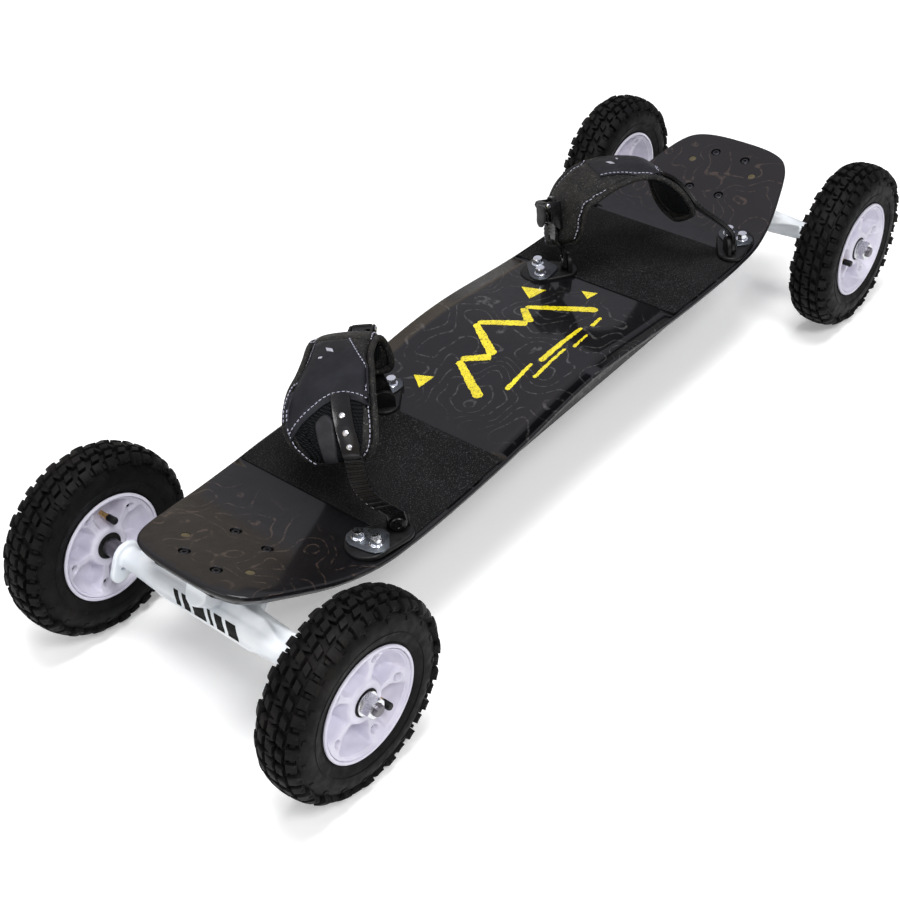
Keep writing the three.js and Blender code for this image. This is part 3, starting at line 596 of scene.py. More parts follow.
def carcass(q):
    """Point and outward normal at q, 0 at the crown and 1 at the bead."""
    r, y = spline(CARCASS, q)
    r2, y2 = spline(CARCASS, min(q + 0.004, 1))
    r1, y1 = spline(CARCASS, max(q - 0.004, 0))
    dr, dy = r2 - r1, y2 - y1
    length = math.hypot(dr, dy) or 1
    return r, y, dy / length, -dr / length


def tread_point(q, side, a, lift):
    """Point over the carcass at an angle, on the given side of the middle plane."""
    r, y, nr, ny = carcass(abs(q))
    r, y = r + nr * lift, (side if q >= 0 else -side) * (y + ny * lift)
    return r * math.sin(a), y, r * math.cos(a)


def tyre_mesh():
    profile = [spline(CARCASS, i / 30)[:2] for i in range(31)]
    profile += [(51.0, 18.6), (50.6, 9.5), (60, 15), (76, 20.0), (88, 15.5), (91, 6), (91.2, 0)]
    profile += [(r, -y) for r, y in profile[1:-1][::-1]]
    points, faces = turned(lambda a: profile, 128)
    pitch = 2 * math.pi / PITCHES
    rng = random.Random(11)

    def knob(a_mid, a_half, q0, q1, side, height, skew=0.0, rows=2, dish=0.0):
        """Raised block on the carcass between two places of its profile."""
        taper, cols = 0.16, 4

        def corner(i, j, share, lift, notch=0.0):
            u, v = 0.5 + (i / cols - 0.5) * share, 0.5 + (j / rows - 0.5) * share
            a = a_mid + a_half * (2 * u - 1) + skew * (v - 0.5)
            points.append(tread_point(q0 + (q1 - q0) * v, side, a, lift - notch))
            return len(points) - 1

        def notch(i, j, lift):
            return dish * math.exp(-((i / cols - 0.5) / 0.22) ** 2) if 2 * j > rows and lift > 0 else 0.0

        border = rim_of(cols, rows)
        levels = ((-1.2, 1.0), (height - 0.9, 1.0 - taper * 0.6), (height, 1.0 - taper))
        loops = [[corner(i, j, share, lift, notch(i, j, lift)) for i, j in border] for lift, share in levels]
        for low, high in zip(loops, loops[1:]):
            faces.extend(strip(low, high))
        grid = dict(zip(border, loops[-1]))
        for i in range(1, cols):
            for j in range(1, rows):
                grid[(i, j)] = corner(i, j, 1 - taper, height + 0.1)
        for i in range(cols):
            for j in range(rows):
                faces.append((grid[(i, j)], grid[(i + 1, j)], grid[(i + 1, j + 1)], grid[(i, j + 1)]))

    for k in range(PITCHES):
        a = k * pitch
        for side in (1, -1):
            b = a + (pitch / 2 if side < 0 else 0)
            long_one = k % 2 == 0
            b += rng.uniform(-0.04, 0.04) * pitch
            knob(b, pitch * 0.34, 0.255, 0.44 if long_one else 0.40, side,
                 (6.0 if long_one else 5.2) + rng.uniform(-0.3, 0.3), skew=0.012 * side, rows=4, dish=2.2)
            knob(b + pitch * 0.5, pitch * 0.13, 0.30, 0.38, side, 3.4)
            knob(b + pitch * 0.32, pitch * 0.29, 0.12, 0.225, side, 5.3 + rng.uniform(-0.2, 0.1), skew=0.04 * side)
            if not long_one:
                knob(b + pitch * 0.5, pitch * 0.2, 0.46, 0.53, side, 0.8)
        knob(a, pitch * 0.30, -0.075, 0.085, 1, 5.4, skew=0.045)
        knob(a + pitch * 0.5, pitch * 0.13, -0.09, 0.09, 1, 4.4, skew=-0.03)
    # Raised rings on both walls
    for side in (1, -1):
        for q, w, h in ((0.70, 0.012, 0.6), (0.93, 0.02, 0.7)):
            ring = []
            for dq, lift in ((-w, -0.4), (-w * 0.6, h), (w * 0.6, h), (w, -0.4)):
                _, y, r = tread_point(q + dq, side, 0.0, lift)
                ring.append((r, y))
            add_part(points, faces, turned(lambda a: ring, 128))
    return mesh_of("tyre", points, faces)


# Face of a hub half: radius and height above the wheel's middle plane
HUB_FACE = [(13.9, 17.6), (15.0, 18.1), (19.0, 18.0), (20.6, 17.0), (22.4, 15.4), (25.0, 14.9), (38.0, 14.9),
            (42.0, 15.4), (47.0, 17.2), (50.2, 19.6), (52.0, 21.6), (53.0, 22.3)]
HUB_GAP = 2 * math.pi / 5
HUB_BOLT_RADIUS, VALVE_RADIUS = 42.5, 30


def hub_height(r, theta):
    """Face of a hub half with its five pockets, ribs and bolt holes."""
    d = (theta / HUB_GAP - round(theta / HUB_GAP)) * HUB_GAP
    half = 2.6 + 4.6 * smoothstep(32, 44, r)
    wide = smoothstep(half, half + 5.0, abs(d) * r)
    inside = smoothstep(20.5, 25.0, r)
    reach = 1 - smoothstep(37.0, 52.5, r)
    depth = 14.5 * wide * inside * (0.3 * (1 - smoothstep(46, 52.5, r)) + 0.7 * reach)
    h = between(HUB_FACE, r) - depth
    if abs(d) * r < 9:
        bolt = math.hypot(r * math.cos(d) - HUB_BOLT_RADIUS, r * math.sin(d))
        h += 0.5 * (1 - smoothstep(5.4, 7.0, bolt)) * inside
        h -= 5.2 * (1 - smoothstep(3.0, 4.6, bolt))
    return h


def hub_mesh():
    radii = [13.9, 14.6, 15.4, 17, 18.6, 19.6, 20.6, 21.6, 22.6, 23.6, 24.6]
    radii += [25.6 + 0.9 * i for i in range(27)] + [49.8, 50.6, 51.4, 52.2, 52.95]
    back = [(53.15, 20.6), (53.65, 20.6), (53.85, 22.8), (54.3, 23.25), (55.8, 23.2), (56.6, 22.9),
            (57.0, 22.2), (57.0, 21.3), (56.2, 20.9), (50.3, 19.3), (50.1, 19.0), (50.1, 0.3), (14.2, 0.3)]
    return mesh_of("hub", *turned(lambda a: [(r, hub_height(r, a)) for r in radii] + back, 260))


tyre_data = tyre_mesh()
hub_data = hub_mesh()
FLIP = Matrix.Rotation(math.pi, 4, "X")
# Half sections, radius and place along the axle
BEARING = [(6.35, 17.9), (7.6, 17.9), (7.9, 17.2), (8.6, 17.0), (12.0, 17.0), (12.3, 17.9), (13.9, 17.9)]
STEM = [(0.01, 3), (2.6, 3), (2.6, 12), (3.4, 12.2), (3.4, 14.4), (2.4, 14.6), (0.01, 14.6)]
CAP = [(0.01, 14.7), (3.3, 14.7), (3.7, 15.2), (3.8, 23.6), (3.2, 25.0), (0.01, 25.3)]
WASHER = [(6.4, 18.35), (11.6, 18.35), (12, 18.7), (12, 20.0), (11.6, 20.3), (6.4, 20.3)]
for tag, place in WHEELS.items():
    body, end = f"wheel_{tag}", tag.split("_")[0]
    spun = place @ Matrix.Rotation(SPINS[tag], 4, "Y")
    settle(link(f"tyre_{tag}_tread", tyre_data.copy(), TYRE, spun, angle=32), body, "tyre", f"tyre_{tag}")
    for half, turn in (("outer", Matrix.Identity(4)), ("inner", FLIP)):
        shell = link(f"hub_{half}_{tag}_shell", hub_data.copy(), NYLON, spun @ turn, angle=40)
        settle(shell, body, "hub", f"hub_{half}_{tag}")
        for i in range(5):
            a = HUB_GAP * i
            at = spun @ turn @ move(HUB_BOLT_RADIUS * math.sin(a), 10.6, HUB_BOLT_RADIUS * math.cos(a))
            settle(hex_head(f"hub_screw_{half}_{tag}_{i + 1}", 3.4, 1.8, DARK_STEEL, at, 0.9, 0.3), body, "black_steel")
    # Bearing: steel outer race, black seal and inner race on both faces
    profile = [(r, -y) for r, y in BEARING] + BEARING[::-1]
    settle(lathe(f"bearing_{tag}_sealed", profile, 48, SEAL, place), body, "black_steel", f"bearing_{tag}")
    # Valve with its cap, standing in a pocket between two ribs
    a = math.pi / 5
    way = FLIP @ Matrix.Rotation(-2 * a, 4, "Y") if tag == "near_left" else Matrix.Identity(4)
    at = spun @ way @ move(VALVE_RADIUS * math.sin(a), 0, VALVE_RADIUS * math.cos(a))
    settle(lathe(f"valve_stem_{tag}", STEM, 20, BRASS, at), body, "steel")
    settle(lathe(f"valve_cap_{tag}", CAP, 20, PLASTIC, at), body, "strap")
    # Axle nut with its washer
    nut = hex_head(f"axle_nut_{tag}_hex", 19, 10, STEEL, place @ move(0, 20.4, 0), 6.35, 1.4)
    settle(nut, f"hanger_{end}", "steel", f"axle_nut_{tag}")
    settle(lathe(f"axle_washer_{tag}", WASHER, 40, STEEL, place), f"hanger_{end}", "steel")


# Trucks: the cast pieces are remeshed from their solids, so that edges run into each other as in a casting

STEER_ANGLE, STEER_X, STEER_Z = math.radians(44.5), 436.486, 110.699
BUSHING_X = -36


def coat(o, finish):
    o.data.materials.clear()
    o.data.materials.append(finish)


def cast_piece(node, body, voxel, rounds):
    o = bpy.data.objects.new(f"{node}_cast", nodes[node].data.copy())
    bpy.context.scene.collection.objects.link(o)
    coat(o, CAST)
    m = o.modifiers.new("remesh", "REMESH")
    m.mode = "VOXEL"
    m.voxel_size = voxel * MM
    m.adaptivity = 0.0
    s = o.modifiers.new("smooth", "SMOOTH")
    s.factor = 0.5
    s.iterations = rounds
    apply_modifiers(o)
    o.data.shade_smooth()
    settle(o, body, "cast_white", node)


def bushing_profile(z0, z1):
    """Rubber barrel with rounded rims round the kingpin."""
    rows = []
    for i in range(17):
        t = i / 16
        rows.append((14 * (1 - 0.12 * math.sin(math.pi * t)) - 1.0 * (abs(2 * t - 1) ** 8), z0 + (z1 - z0) * t))
    return [(5.4, z0)] + rows + [(5.4, z1)]


for end, k in ENDS:
    cast_piece(f"hanger_{end}", f"hanger_{end}", 1.3, 9)
    cast_piece(f"truck_base_{end}", "board", 1.2, 6)
    for name, finish in (("axle", AXLE_STEEL), ("kingpin", STEEL), ("kingpin_nut", STEEL)):
        coat(nodes[f"{name}_{end}"], finish)

    # Steering frame: X rises outboard along the steering axis, Z along the kingpin
    ax = Vector((k * math.cos(STEER_ANGLE), 0, math.sin(STEER_ANGLE)))
    az = Vector((-k * math.sin(STEER_ANGLE), 0, math.cos(STEER_ANGLE)))
    at = frame_at((k * STEER_X, 0, STEER_Z), ax, az.cross(ax), az) @ move(BUSHING_X, 0, 0)
    for part, inner, outer in (("upper", 5.35, 21.25), ("lower", -5.35, -19.25)):
        profile = bushing_profile(min(inner, outer), max(inner, outer))
        bush = lathe(f"bushing_{part}_{end}_rubber", profile, 40, BUSH, at, axis="Z")
        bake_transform(bush)
        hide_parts(f"bushing_{part}_{end}")


# Generic dark bars on the flat outboard face of each hanger: from and to, across the board

BARS = [(43, 37), (32, 24), (19, 3), (-2, -6), (-11, -21), (-26, -39)]
BAR_LOW, BAR_HEIGHT, BAR_SLANT, BAR_STEPS = -8.5, 11.5, 0.8, 8


def hanger_bars(end, k):
    cast = bpy.data.objects[f"hanger_{end}_cast"]
    skin = BVHTree.FromPolygons([cast.matrix_world @ v.co for v in cast.data.vertices],
                                [tuple(p.vertices) for p in cast.data.polygons])
    n, t = Vector((k * 0.7, 0, 0.714)), Vector((-k * 0.714, 0, 0.7))
    centre = Vector((k * 455, 0, 105))
    points, faces = [], []
    for y0, y1 in BARS:
        def corner(i, j):
            h = BAR_LOW + BAR_HEIGHT * j / BAR_STEPS
            y = -k * (y0 + (y1 - y0) * i / BAR_STEPS + BAR_SLANT * h)
            p, normal = skin.ray_cast((centre + Vector((0, y, 0)) + t * h + n * 70) * MM, -n)[:2]
            return p / MM + normal * 0.35, p / MM - normal * 0.4
        add_part(points, faces, sheet(BAR_STEPS, BAR_STEPS, corner))
    bars = link(f"hanger_{end}_bars", mesh_of("bars", points, faces), PLASTIC, angle=60)
    settle(bars, f"hanger_{end}", "black_steel")


for end, k in ENDS:
    hanger_bars(end, k)


# Deck: plan outline, side curve and rounded rims

DECK_TOP = 134.0
HALF_LENGTH, HALF_WIDTH, THICK = 480.0, 116.5, 14.0
BEND, RADIUS, TIP = 305.0, 283.0, math.radians(18.5)
RUN = RADIUS * math.sin(TIP)
OUTLINE = [(0, 0.961), (0.125, 0.963), (0.25, 0.966), (0.375, 0.968), (0.5, 0.97), (0.58, 0.966), (0.625, 0.957),
           (0.667, 0.948), (0.708, 0.931), (0.75, 0.901), (0.792, 0.862), (0.833, 0.815), (0.875, 0.76), (0.917, 0.70),
           (0.948, 0.644), (0.971, 0.575), (0.985, 0.49), (0.9945, 0.36), (0.999, 0.19), (1.0, 0.0)]
CAMBER, CAMBER_RUN = 14.0, 118.0


def top_height(x):
    a = abs(x)
    if a <= BEND:
        return DECK_TOP + CAMBER * math.exp(-(a / CAMBER_RUN) ** 2)
    if a <= BEND + RUN:
        return DECK_TOP + RADIUS - math.sqrt(RADIUS ** 2 - (a - BEND) ** 2)
    return DECK_TOP + RADIUS * (1 - math.cos(TIP)) + (a - BEND - RUN) * math.tan(TIP)


def slope(x):
    a = abs(x)
    if a <= BEND:
        return math.atan(-2 * x / CAMBER_RUN ** 2 * CAMBER * math.exp(-(a / CAMBER_RUN) ** 2))
    return math.copysign(min(TIP, math.asin(min(1.0, (a - BEND) / RADIUS))), x)


def on_deck(x, y, depth):
    """Point at a depth under the top surface, square to it."""
    a = slope(x)
    return (x + depth * math.sin(a), y, top_height(x) - depth * math.cos(a))


def half_width(x):
    return between(OUTLINE, abs(x) / HALF_LENGTH) * HALF_WIDTH


def inset(outline, distance):
    out = []
    count = len(outline)
    for i in range(count):
        p, a, b = Vector(outline[i]), Vector(outline[i - 1]), Vector(outline[(i + 1) % count])
        d = (b - a).normalized()
        n = Vector((d.y, -d.x))
        if n.dot(-p) < 0:
            n = -n
        out.append(tuple(p + n * distance))
    return out


# Bolts and spare holes stand square to the sloping tips, round a middle on each
BOLT_X, BOLT_ALONG, BOLT_ACROSS = 422.0, 31.75, 20.65
SPARE_ALONG, SPARE_ACROSS = 11.0, 42.0
HOLES = [(k * (BOLT_X + i * BOLT_ALONG * math.cos(TIP)), j * BOLT_ACROSS, 6.0)
         for i in (1, -1) for j in (1, -1) for k in (1, -1)]
HOLES += [(k * (BOLT_X + SPARE_ALONG * math.cos(TIP)), j * SPARE_ACROSS, 4.4) for j in (1, -1) for k in (1, -1)]

pts = [(a * HALF_LENGTH, max(b, 0) * HALF_WIDTH) for a, b in (spline(OUTLINE, i / 110) for i in range(111))]
half = [(-x, y) for x, y in pts[1:][::-1]] + pts
outline = half + [(x, -y) for x, y in half[1:-1][::-1]]
# Edge section from the top face outwards and down, then back under the deck: inset and depth
RIM, BEVEL = 2.6, 9.5
rings = [(RIM * (1 - math.sin(math.pi / 10 * i)), RIM * (1 - math.cos(math.pi / 10 * i))) for i in range(6)]
rings += [(0.0, 3.8), (0.4, 4.8), (1.3, 5.8)]
rings += [(BEVEL - 1.5, THICK - 1.4), (BEVEL - 0.4, THICK - 0.4), (BEVEL + 1, THICK)]
points = [on_deck(x, y, depth) for d, depth in rings for x, y in inset(outline, d)]
size = len(outline)
rows = [list(range(k * size, (k + 1) * size)) for k in range(len(rings))]
faces = [f for low, high in zip(rows, rows[1:]) for f in strip(low, high)]


def face_fill(loop_2d, first_index, depth, margin):
    """Triangles over the inside of a loop, with the bolt holes open."""
    verts = [Vector(p) for p in loop_2d]
    count = len(verts)
    edges = [(i, (i + 1) % count) for i in range(count)]
    hole_loops = []
    for hx, hy, hr in HOLES:
        loop = list(range(len(verts), len(verts) + 28))
        verts += [Vector((hx + hr * c * math.cos(TIP), hy + hr * s)) for c, s in circle(28)]
        edges += list(zip(loop, loop[1:] + loop[:1]))
        hole_loops.append(loop)
    for x in [i * 10.0 for i in range(-47, 48)]:
        for y in [j * 18.0 for j in range(-6, 7)]:
            clear = all(math.hypot(x - hx, y - hy) >= hr + 3 for hx, hy, hr in HOLES)
            if clear and abs(y) <= half_width(x) - margin:
                verts.append(Vector((x, y)))
    out_verts, _, out_faces, orig, _, _ = delaunay_2d_cdt(verts, edges, [], 0, 1e-4, True)
    index = {s: i for i, sources in enumerate(orig) for s in sources}
    loop_of = {index[i]: first_index + i for i in range(count)}
    ids = []
    for i, v in enumerate(out_verts):
        if i not in loop_of:
            points.append(on_deck(v.x, v.y, depth))
        ids.append(loop_of.get(i, len(points) - 1))
    inside = []
    for f in out_faces:
        c = sum((out_verts[i] for i in f), Vector((0, 0))) / len(f)
        if all(math.hypot((c.x - hx) / math.cos(TIP), c.y - hy) >= hr * 0.985 for hx, hy, hr in HOLES):
            inside.append(tuple(ids[i] for i in f))
    return inside, [[ids[index[i]] for i in loop] for loop in hole_loops]


top_faces, top_holes = face_fill(inset(outline, rings[0][0]), 0, 0.0, 8)
low_faces, low_holes = face_fill(inset(outline, rings[-1][0]), (len(rings) - 1) * size, THICK, 17)
faces += top_faces + [f[::-1] for f in low_faces]
for upper, lower in zip(top_holes, low_holes):
    faces += strip(upper, lower)
settle(link("deck_laminate", mesh_of("deck_laminate", points, faces), DECK, angle=40), "board", "deck", "deck")

GRIP_START, GRIP_LENGTH, GRIP_MARGIN = 155, 148, 4.5
BOLT = [(3.5, -0.6), (4.1, -0.9), (4.35, -2.6), (5.2, -2.7), (5.5, -0.2), (5.75, 0.15), (5.95, -0.2), (5.95, -3.0),
        (3.0, -3.0), (3.0, -21.0), (0.01, -21.0)]
PLUG = [(0.01, -13.6), (4.3, -13.6), (4.3, -0.5), (0.01, -0.7)]


def bolt_section(a):
    """Countersunk head with a raised collar and a six-sided recess."""
    side = hexagon(3.8, a)
    return [(0.01, -2.0), (side, -2.0), (side, -0.75)] + BOLT


for end, k in ENDS:
    def grip_corner(i, j):
        x = k * (GRIP_START + GRIP_LENGTH * i / 40)
        y = (half_width(x) - GRIP_MARGIN) * (j / 8 - 1)
        return on_deck(x, y, -1.1), on_deck(x, y, -0.1)
    grip = link(f"grip_{end}_sheet", mesh_of(f"grip_{end}_sheet", *sheet(40, 16, grip_corner)), GRIP, angle=40)
    settle(grip, "board", "grip", f"grip_{end}")

    ux = Vector((k * math.cos(TIP), 0, math.sin(TIP)))
    uz = Vector((-k * math.sin(TIP), 0, math.cos(TIP)))
    tip = frame_at((k * BOLT_X, 0, top_height(BOLT_X)), ux, uz.cross(ux), uz)
    for number, (i, j) in enumerate(((1, 1), (1, -1), (-1, 1), (-1, -1)), 1):
        name = f"truck_bolt_{end}_{number}"
        mesh = mesh_of("bolt", *turned(bolt_section, 36, "Z"))
        at = tip @ move(i * BOLT_ALONG, j * BOLT_ACROSS, 0)
        settle(link(f"{name}_socket", mesh, DARK_STEEL, at), "board", "black_steel", name)
    for j in (1, -1):
        at = tip @ move(SPARE_ALONG, j * SPARE_ACROSS, 0)
        plug = lathe(f"spare_hole_{end}_{'left' if j * k > 0 else 'right'}", PLUG, 24, TAN, at, axis="Z")
        settle(plug, "board", "deck")


# Generic print in the middle of the deck: a broken ridge line with strokes under it

def inside_of(polygon, point):
    hits = False
    for (x0, y0), (x1, y1) in zip(polygon, polygon[1:] + polygon[:1]):
        if (y0 > point.y) != (y1 > point.y) and point.x < x0 + (x1 - x0) * (point.y - y0) / (y1 - y0):
            hits = not hits
    return hits


def print_piece(name, polygon):
    """Thin printed patch on the flat of the deck."""
    size = len(polygon)
    inner = [Vector((i * 8.0, j * 8.0)) for i in range(-20, 21) for j in range(-12, 13)]
    border = [(i, (i + 1) % size) for i in range(size)]
    verts, _, tris, orig, _, _ = delaunay_2d_cdt([Vector(p) for p in polygon] + inner, border, [], 1, 1e-4, True)
    tris = [t for t in tris if inside_of(polygon, sum((verts[i] for i in t), Vector((0, 0))) / 3)]
    count = len(verts)
    p = [on_deck(v.x, v.y, depth) for depth in (0.04, -0.12) for v in verts]
    f = [tuple(i + count for i in t) for t in tris] + [tuple(t)[::-1] for t in tris]
    index = {s: i for i, sources in enumerate(orig) for s in sources}
    ring = [index[i] for i in range(size)]
    f += [(a, b, b + count, a + count) for a, b in zip(ring, ring[1:] + ring[:1])]
    settle(link(name, mesh_of(name, p, f), PAINT, smooth=False), "board", "deck")


def stroke(x0, y0, x1, y1, w0, w1, seed):
    """Brush stroke with ragged sides."""
    rng = random.Random(seed)
    a, b = Vector((x0, y0)), Vector((x1, y1))
    d = (b - a).normalized()
    n = Vector((-d.y, d.x))
    left, back = [], []
    count = 26
    for i in range(count + 1):
        w = (w0 + (w1 - w0) * i / count) / 2 * (0.45 if i in (0, count) else 1)
        p = a.lerp(b, i / count)
        left.append(tuple(p + n * (w + rng.uniform(-0.6, 0.5))))
        back.append(tuple(p - n * (w + rng.uniform(-0.6, 0.5))))
    return left + back[::-1]


RIDGE = [(-96, -34), (-58, 26), (-34, -4), (4, 52), (38, 2), (62, 30), (112, -40)]
DASHES = [(-70, -22, -48, 6), (-14, 66, -50, 7), (76, 98, -53, 5), (-40, 20, -61, 4.5), (28, 58, -63, 4)]
WEDGES = [(-104, 40, 11), (96, 46, 14), (132, -8, 9)]
for i, (a, b) in enumerate(zip(RIDGE, RIDGE[1:])):
    a, b = Vector(a), Vector(b)
    shift = (b - a).normalized() * 3
    widths = (11, 8) if i % 2 == 0 else (8, 11)
    print_piece(f"print_ridge_{i + 1}", stroke(*(a + shift), *(b - shift), *widths, 40 + i))
for i, (x0, x1, y, w) in enumerate(DASHES):
    print_piece(f"print_dash_{i + 1}", stroke(x0, y, x1, y + 3, w, w * 0.7, 60 + i))
for i, (x, y, s) in enumerate(WEDGES):
    print_piece(f"print_wedge_{i + 1}", [(x - s, y - s * 0.7), (x + s, y - s * 0.9), (x + s * 0.2, y + s)])


# Bindings: one shape for each end, as they lie, the near one mirrored

r2 = math.sqrt(0.5)
ALONG, TOE, UP = Vector((r2, -r2, 0)), Vector((r2, r2, 0)), Vector((0, 0, 1))
MIDDLE = Vector((227, -27, 150))
MIRROR = Matrix.Scale(-1, 4, Vector((1, 0, 0)))
EYE = 97.58
PAD_THICK = 12.0
# Rows of the arch: place along, height, place across, half width, and for the far one turn and droop in degrees
SHAPES = {
    "near": {"lean": 10, "turn": 17, "seat": (-101, 50, 10), "bow": 12,
             "rivets": ((0.715, -0.38), (0.775, -0.42), (0.84, -0.5)), "arch": [
        (-100.1, 32, 7, 18), (-100.4, 38, 8, 26), (-101, 50, 10, 31), (-101.9, 65, 13, 33), (-97, 77, 16, 34),
        (-85, 86, 19, 34), (-67, 92, 22, 34), (-46, 95, 25, 34), (-22, 95, 28.5, 37.5), (0, 93, 34, 42),
        (20, 88, 37.5, 44.5), (36, 80, 40, 45), (47, 71, 40, 42), (53, 64, 39.5, 36.5), (56, 58, 39.5, 30.5),
        (57, 53, 39, 20)]},
    "far": {"lean": 22, "turn": 20, "seat": (-97, 50, -6), "bow": 0,
            "rivets": ((0.735, -0.72), (0.79, -0.70), (0.85, -0.64)), "arch": [
        (-98, 21, -7, 21, 33, 9), (-97.4, 27, -7, 30, 31, 8), (-95.6, 41, -7.4, 35.5, 28, 4.5),
        (-92, 61, -8.6, 38, 25, -1.4), (-84, 76, -9.6, 39.5, 21, -11.5), (-70.5, 87, -10.5, 39.3, 16, -19),
        (-53, 95, -11, 38.4, 11.7, -18.8), (-35, 99, -10, 37.4, 8, -16), (-17.5, 100, -8.5, 36.5, 5.2, -12.8),
        (-0.8, 97, -6, 36.7, 3.2, -9), (10.7, 89.3, -4.4, 38.9, 4.1, -3.1), (18.7, 78.3, -3.4, 40.3, 7.5, 2.5),
        (25.4, 65.6, -3, 39.8, 11.6, 7.1), (32, 53.8, -3.6, 35.1, 14.4, 10.3), (38, 45, -4.6, 27.5, 17, 12.7),
        (43, 37.5, -5.8, 18, 19, 15)]},
}
# Seam of the smooth panel: place along the arch against place across it
SEAM = [(-1.0, 0.68), (-0.77, 0.657), (-0.4, 0.645), (-0.09, 0.652), (0.13, 0.671), (0.52, 0.721), (0.86, 0.778),
        (1.0, 0.80)]
PANEL_START, PANEL_TOE, PANEL_HEEL = 0.39, 0.93, -0.92
# Sides of that panel: place across the arch against place along it
TOE_EDGE = [(0.38, 0.70), (0.5, 0.74), (0.58, 0.84), (0.66, 0.93), (0.8, 0.93)]
HEEL_EDGE = [(0.38, -0.30), (0.42, -0.45), (0.52, -0.90), (0.6, -0.92), (0.8, -0.92)]


def squared(value, power):
    """Circle coordinate drawn out towards a square's."""
    return math.copysign(abs(value) ** power, value)


def steps(start, stop, count):
    return [start + (stop - start) * i / count for i in range(count + 1)]


SECTION = [(squared(c, 0.55), squared(s, 0.62)) for c, s in circle(28)]


def inflate(o):
    """Padding by cloth simulation: remesh, inflate, and keep every point within a cap."""
    voxel, pressure, cap, frames = 4.5 * MM, 4.0, 3.5 * MM, 20
    m = o.modifiers.new("remesh", "REMESH")
    m.mode = "VOXEL"
    m.voxel_size = voxel
    apply_modifiers(o)
    rest = [v.co.copy() for v in o.data.vertices]
    cloth = o.modifiers.new("cloth", "CLOTH")
    cloth.settings.use_pressure = True
    cloth.settings.uniform_pressure_force = pressure
    cloth.settings.effector_weights.gravity = 0
    cloth.settings.quality = 5
    cloth.settings.tension_stiffness = 25
    cloth.settings.compression_stiffness = 25
    cloth.settings.bending_stiffness = 2.5
    cloth.point_cache.frame_start = 1
    cloth.point_cache.frame_end = frames
    scene = bpy.context.scene
    for frame_number in range(1, frames + 1):
        scene.frame_set(frame_number)
    apply_modifiers(o)
    for v, r in zip(o.data.vertices, rest):
        d = v.co - r
        if d.length > cap:
            v.co = r + d.normalized() * cap
    scene.frame_set(1)
    divide(o)


def divide(o):
    sub = o.modifiers.new("sub", "SUBSURF")
    sub.levels = 1
    sub.render_levels = 1
    apply_modifiers(o)


def evened(line, rounds=4):
    """The points of a line with small kinks taken out."""
    for _ in range(rounds):
        line = [line[0]] + [(a + b * 2 + c) / 4 for a, b, c in zip(line, line[1:], line[2:])] + [line[-1]]
    return line


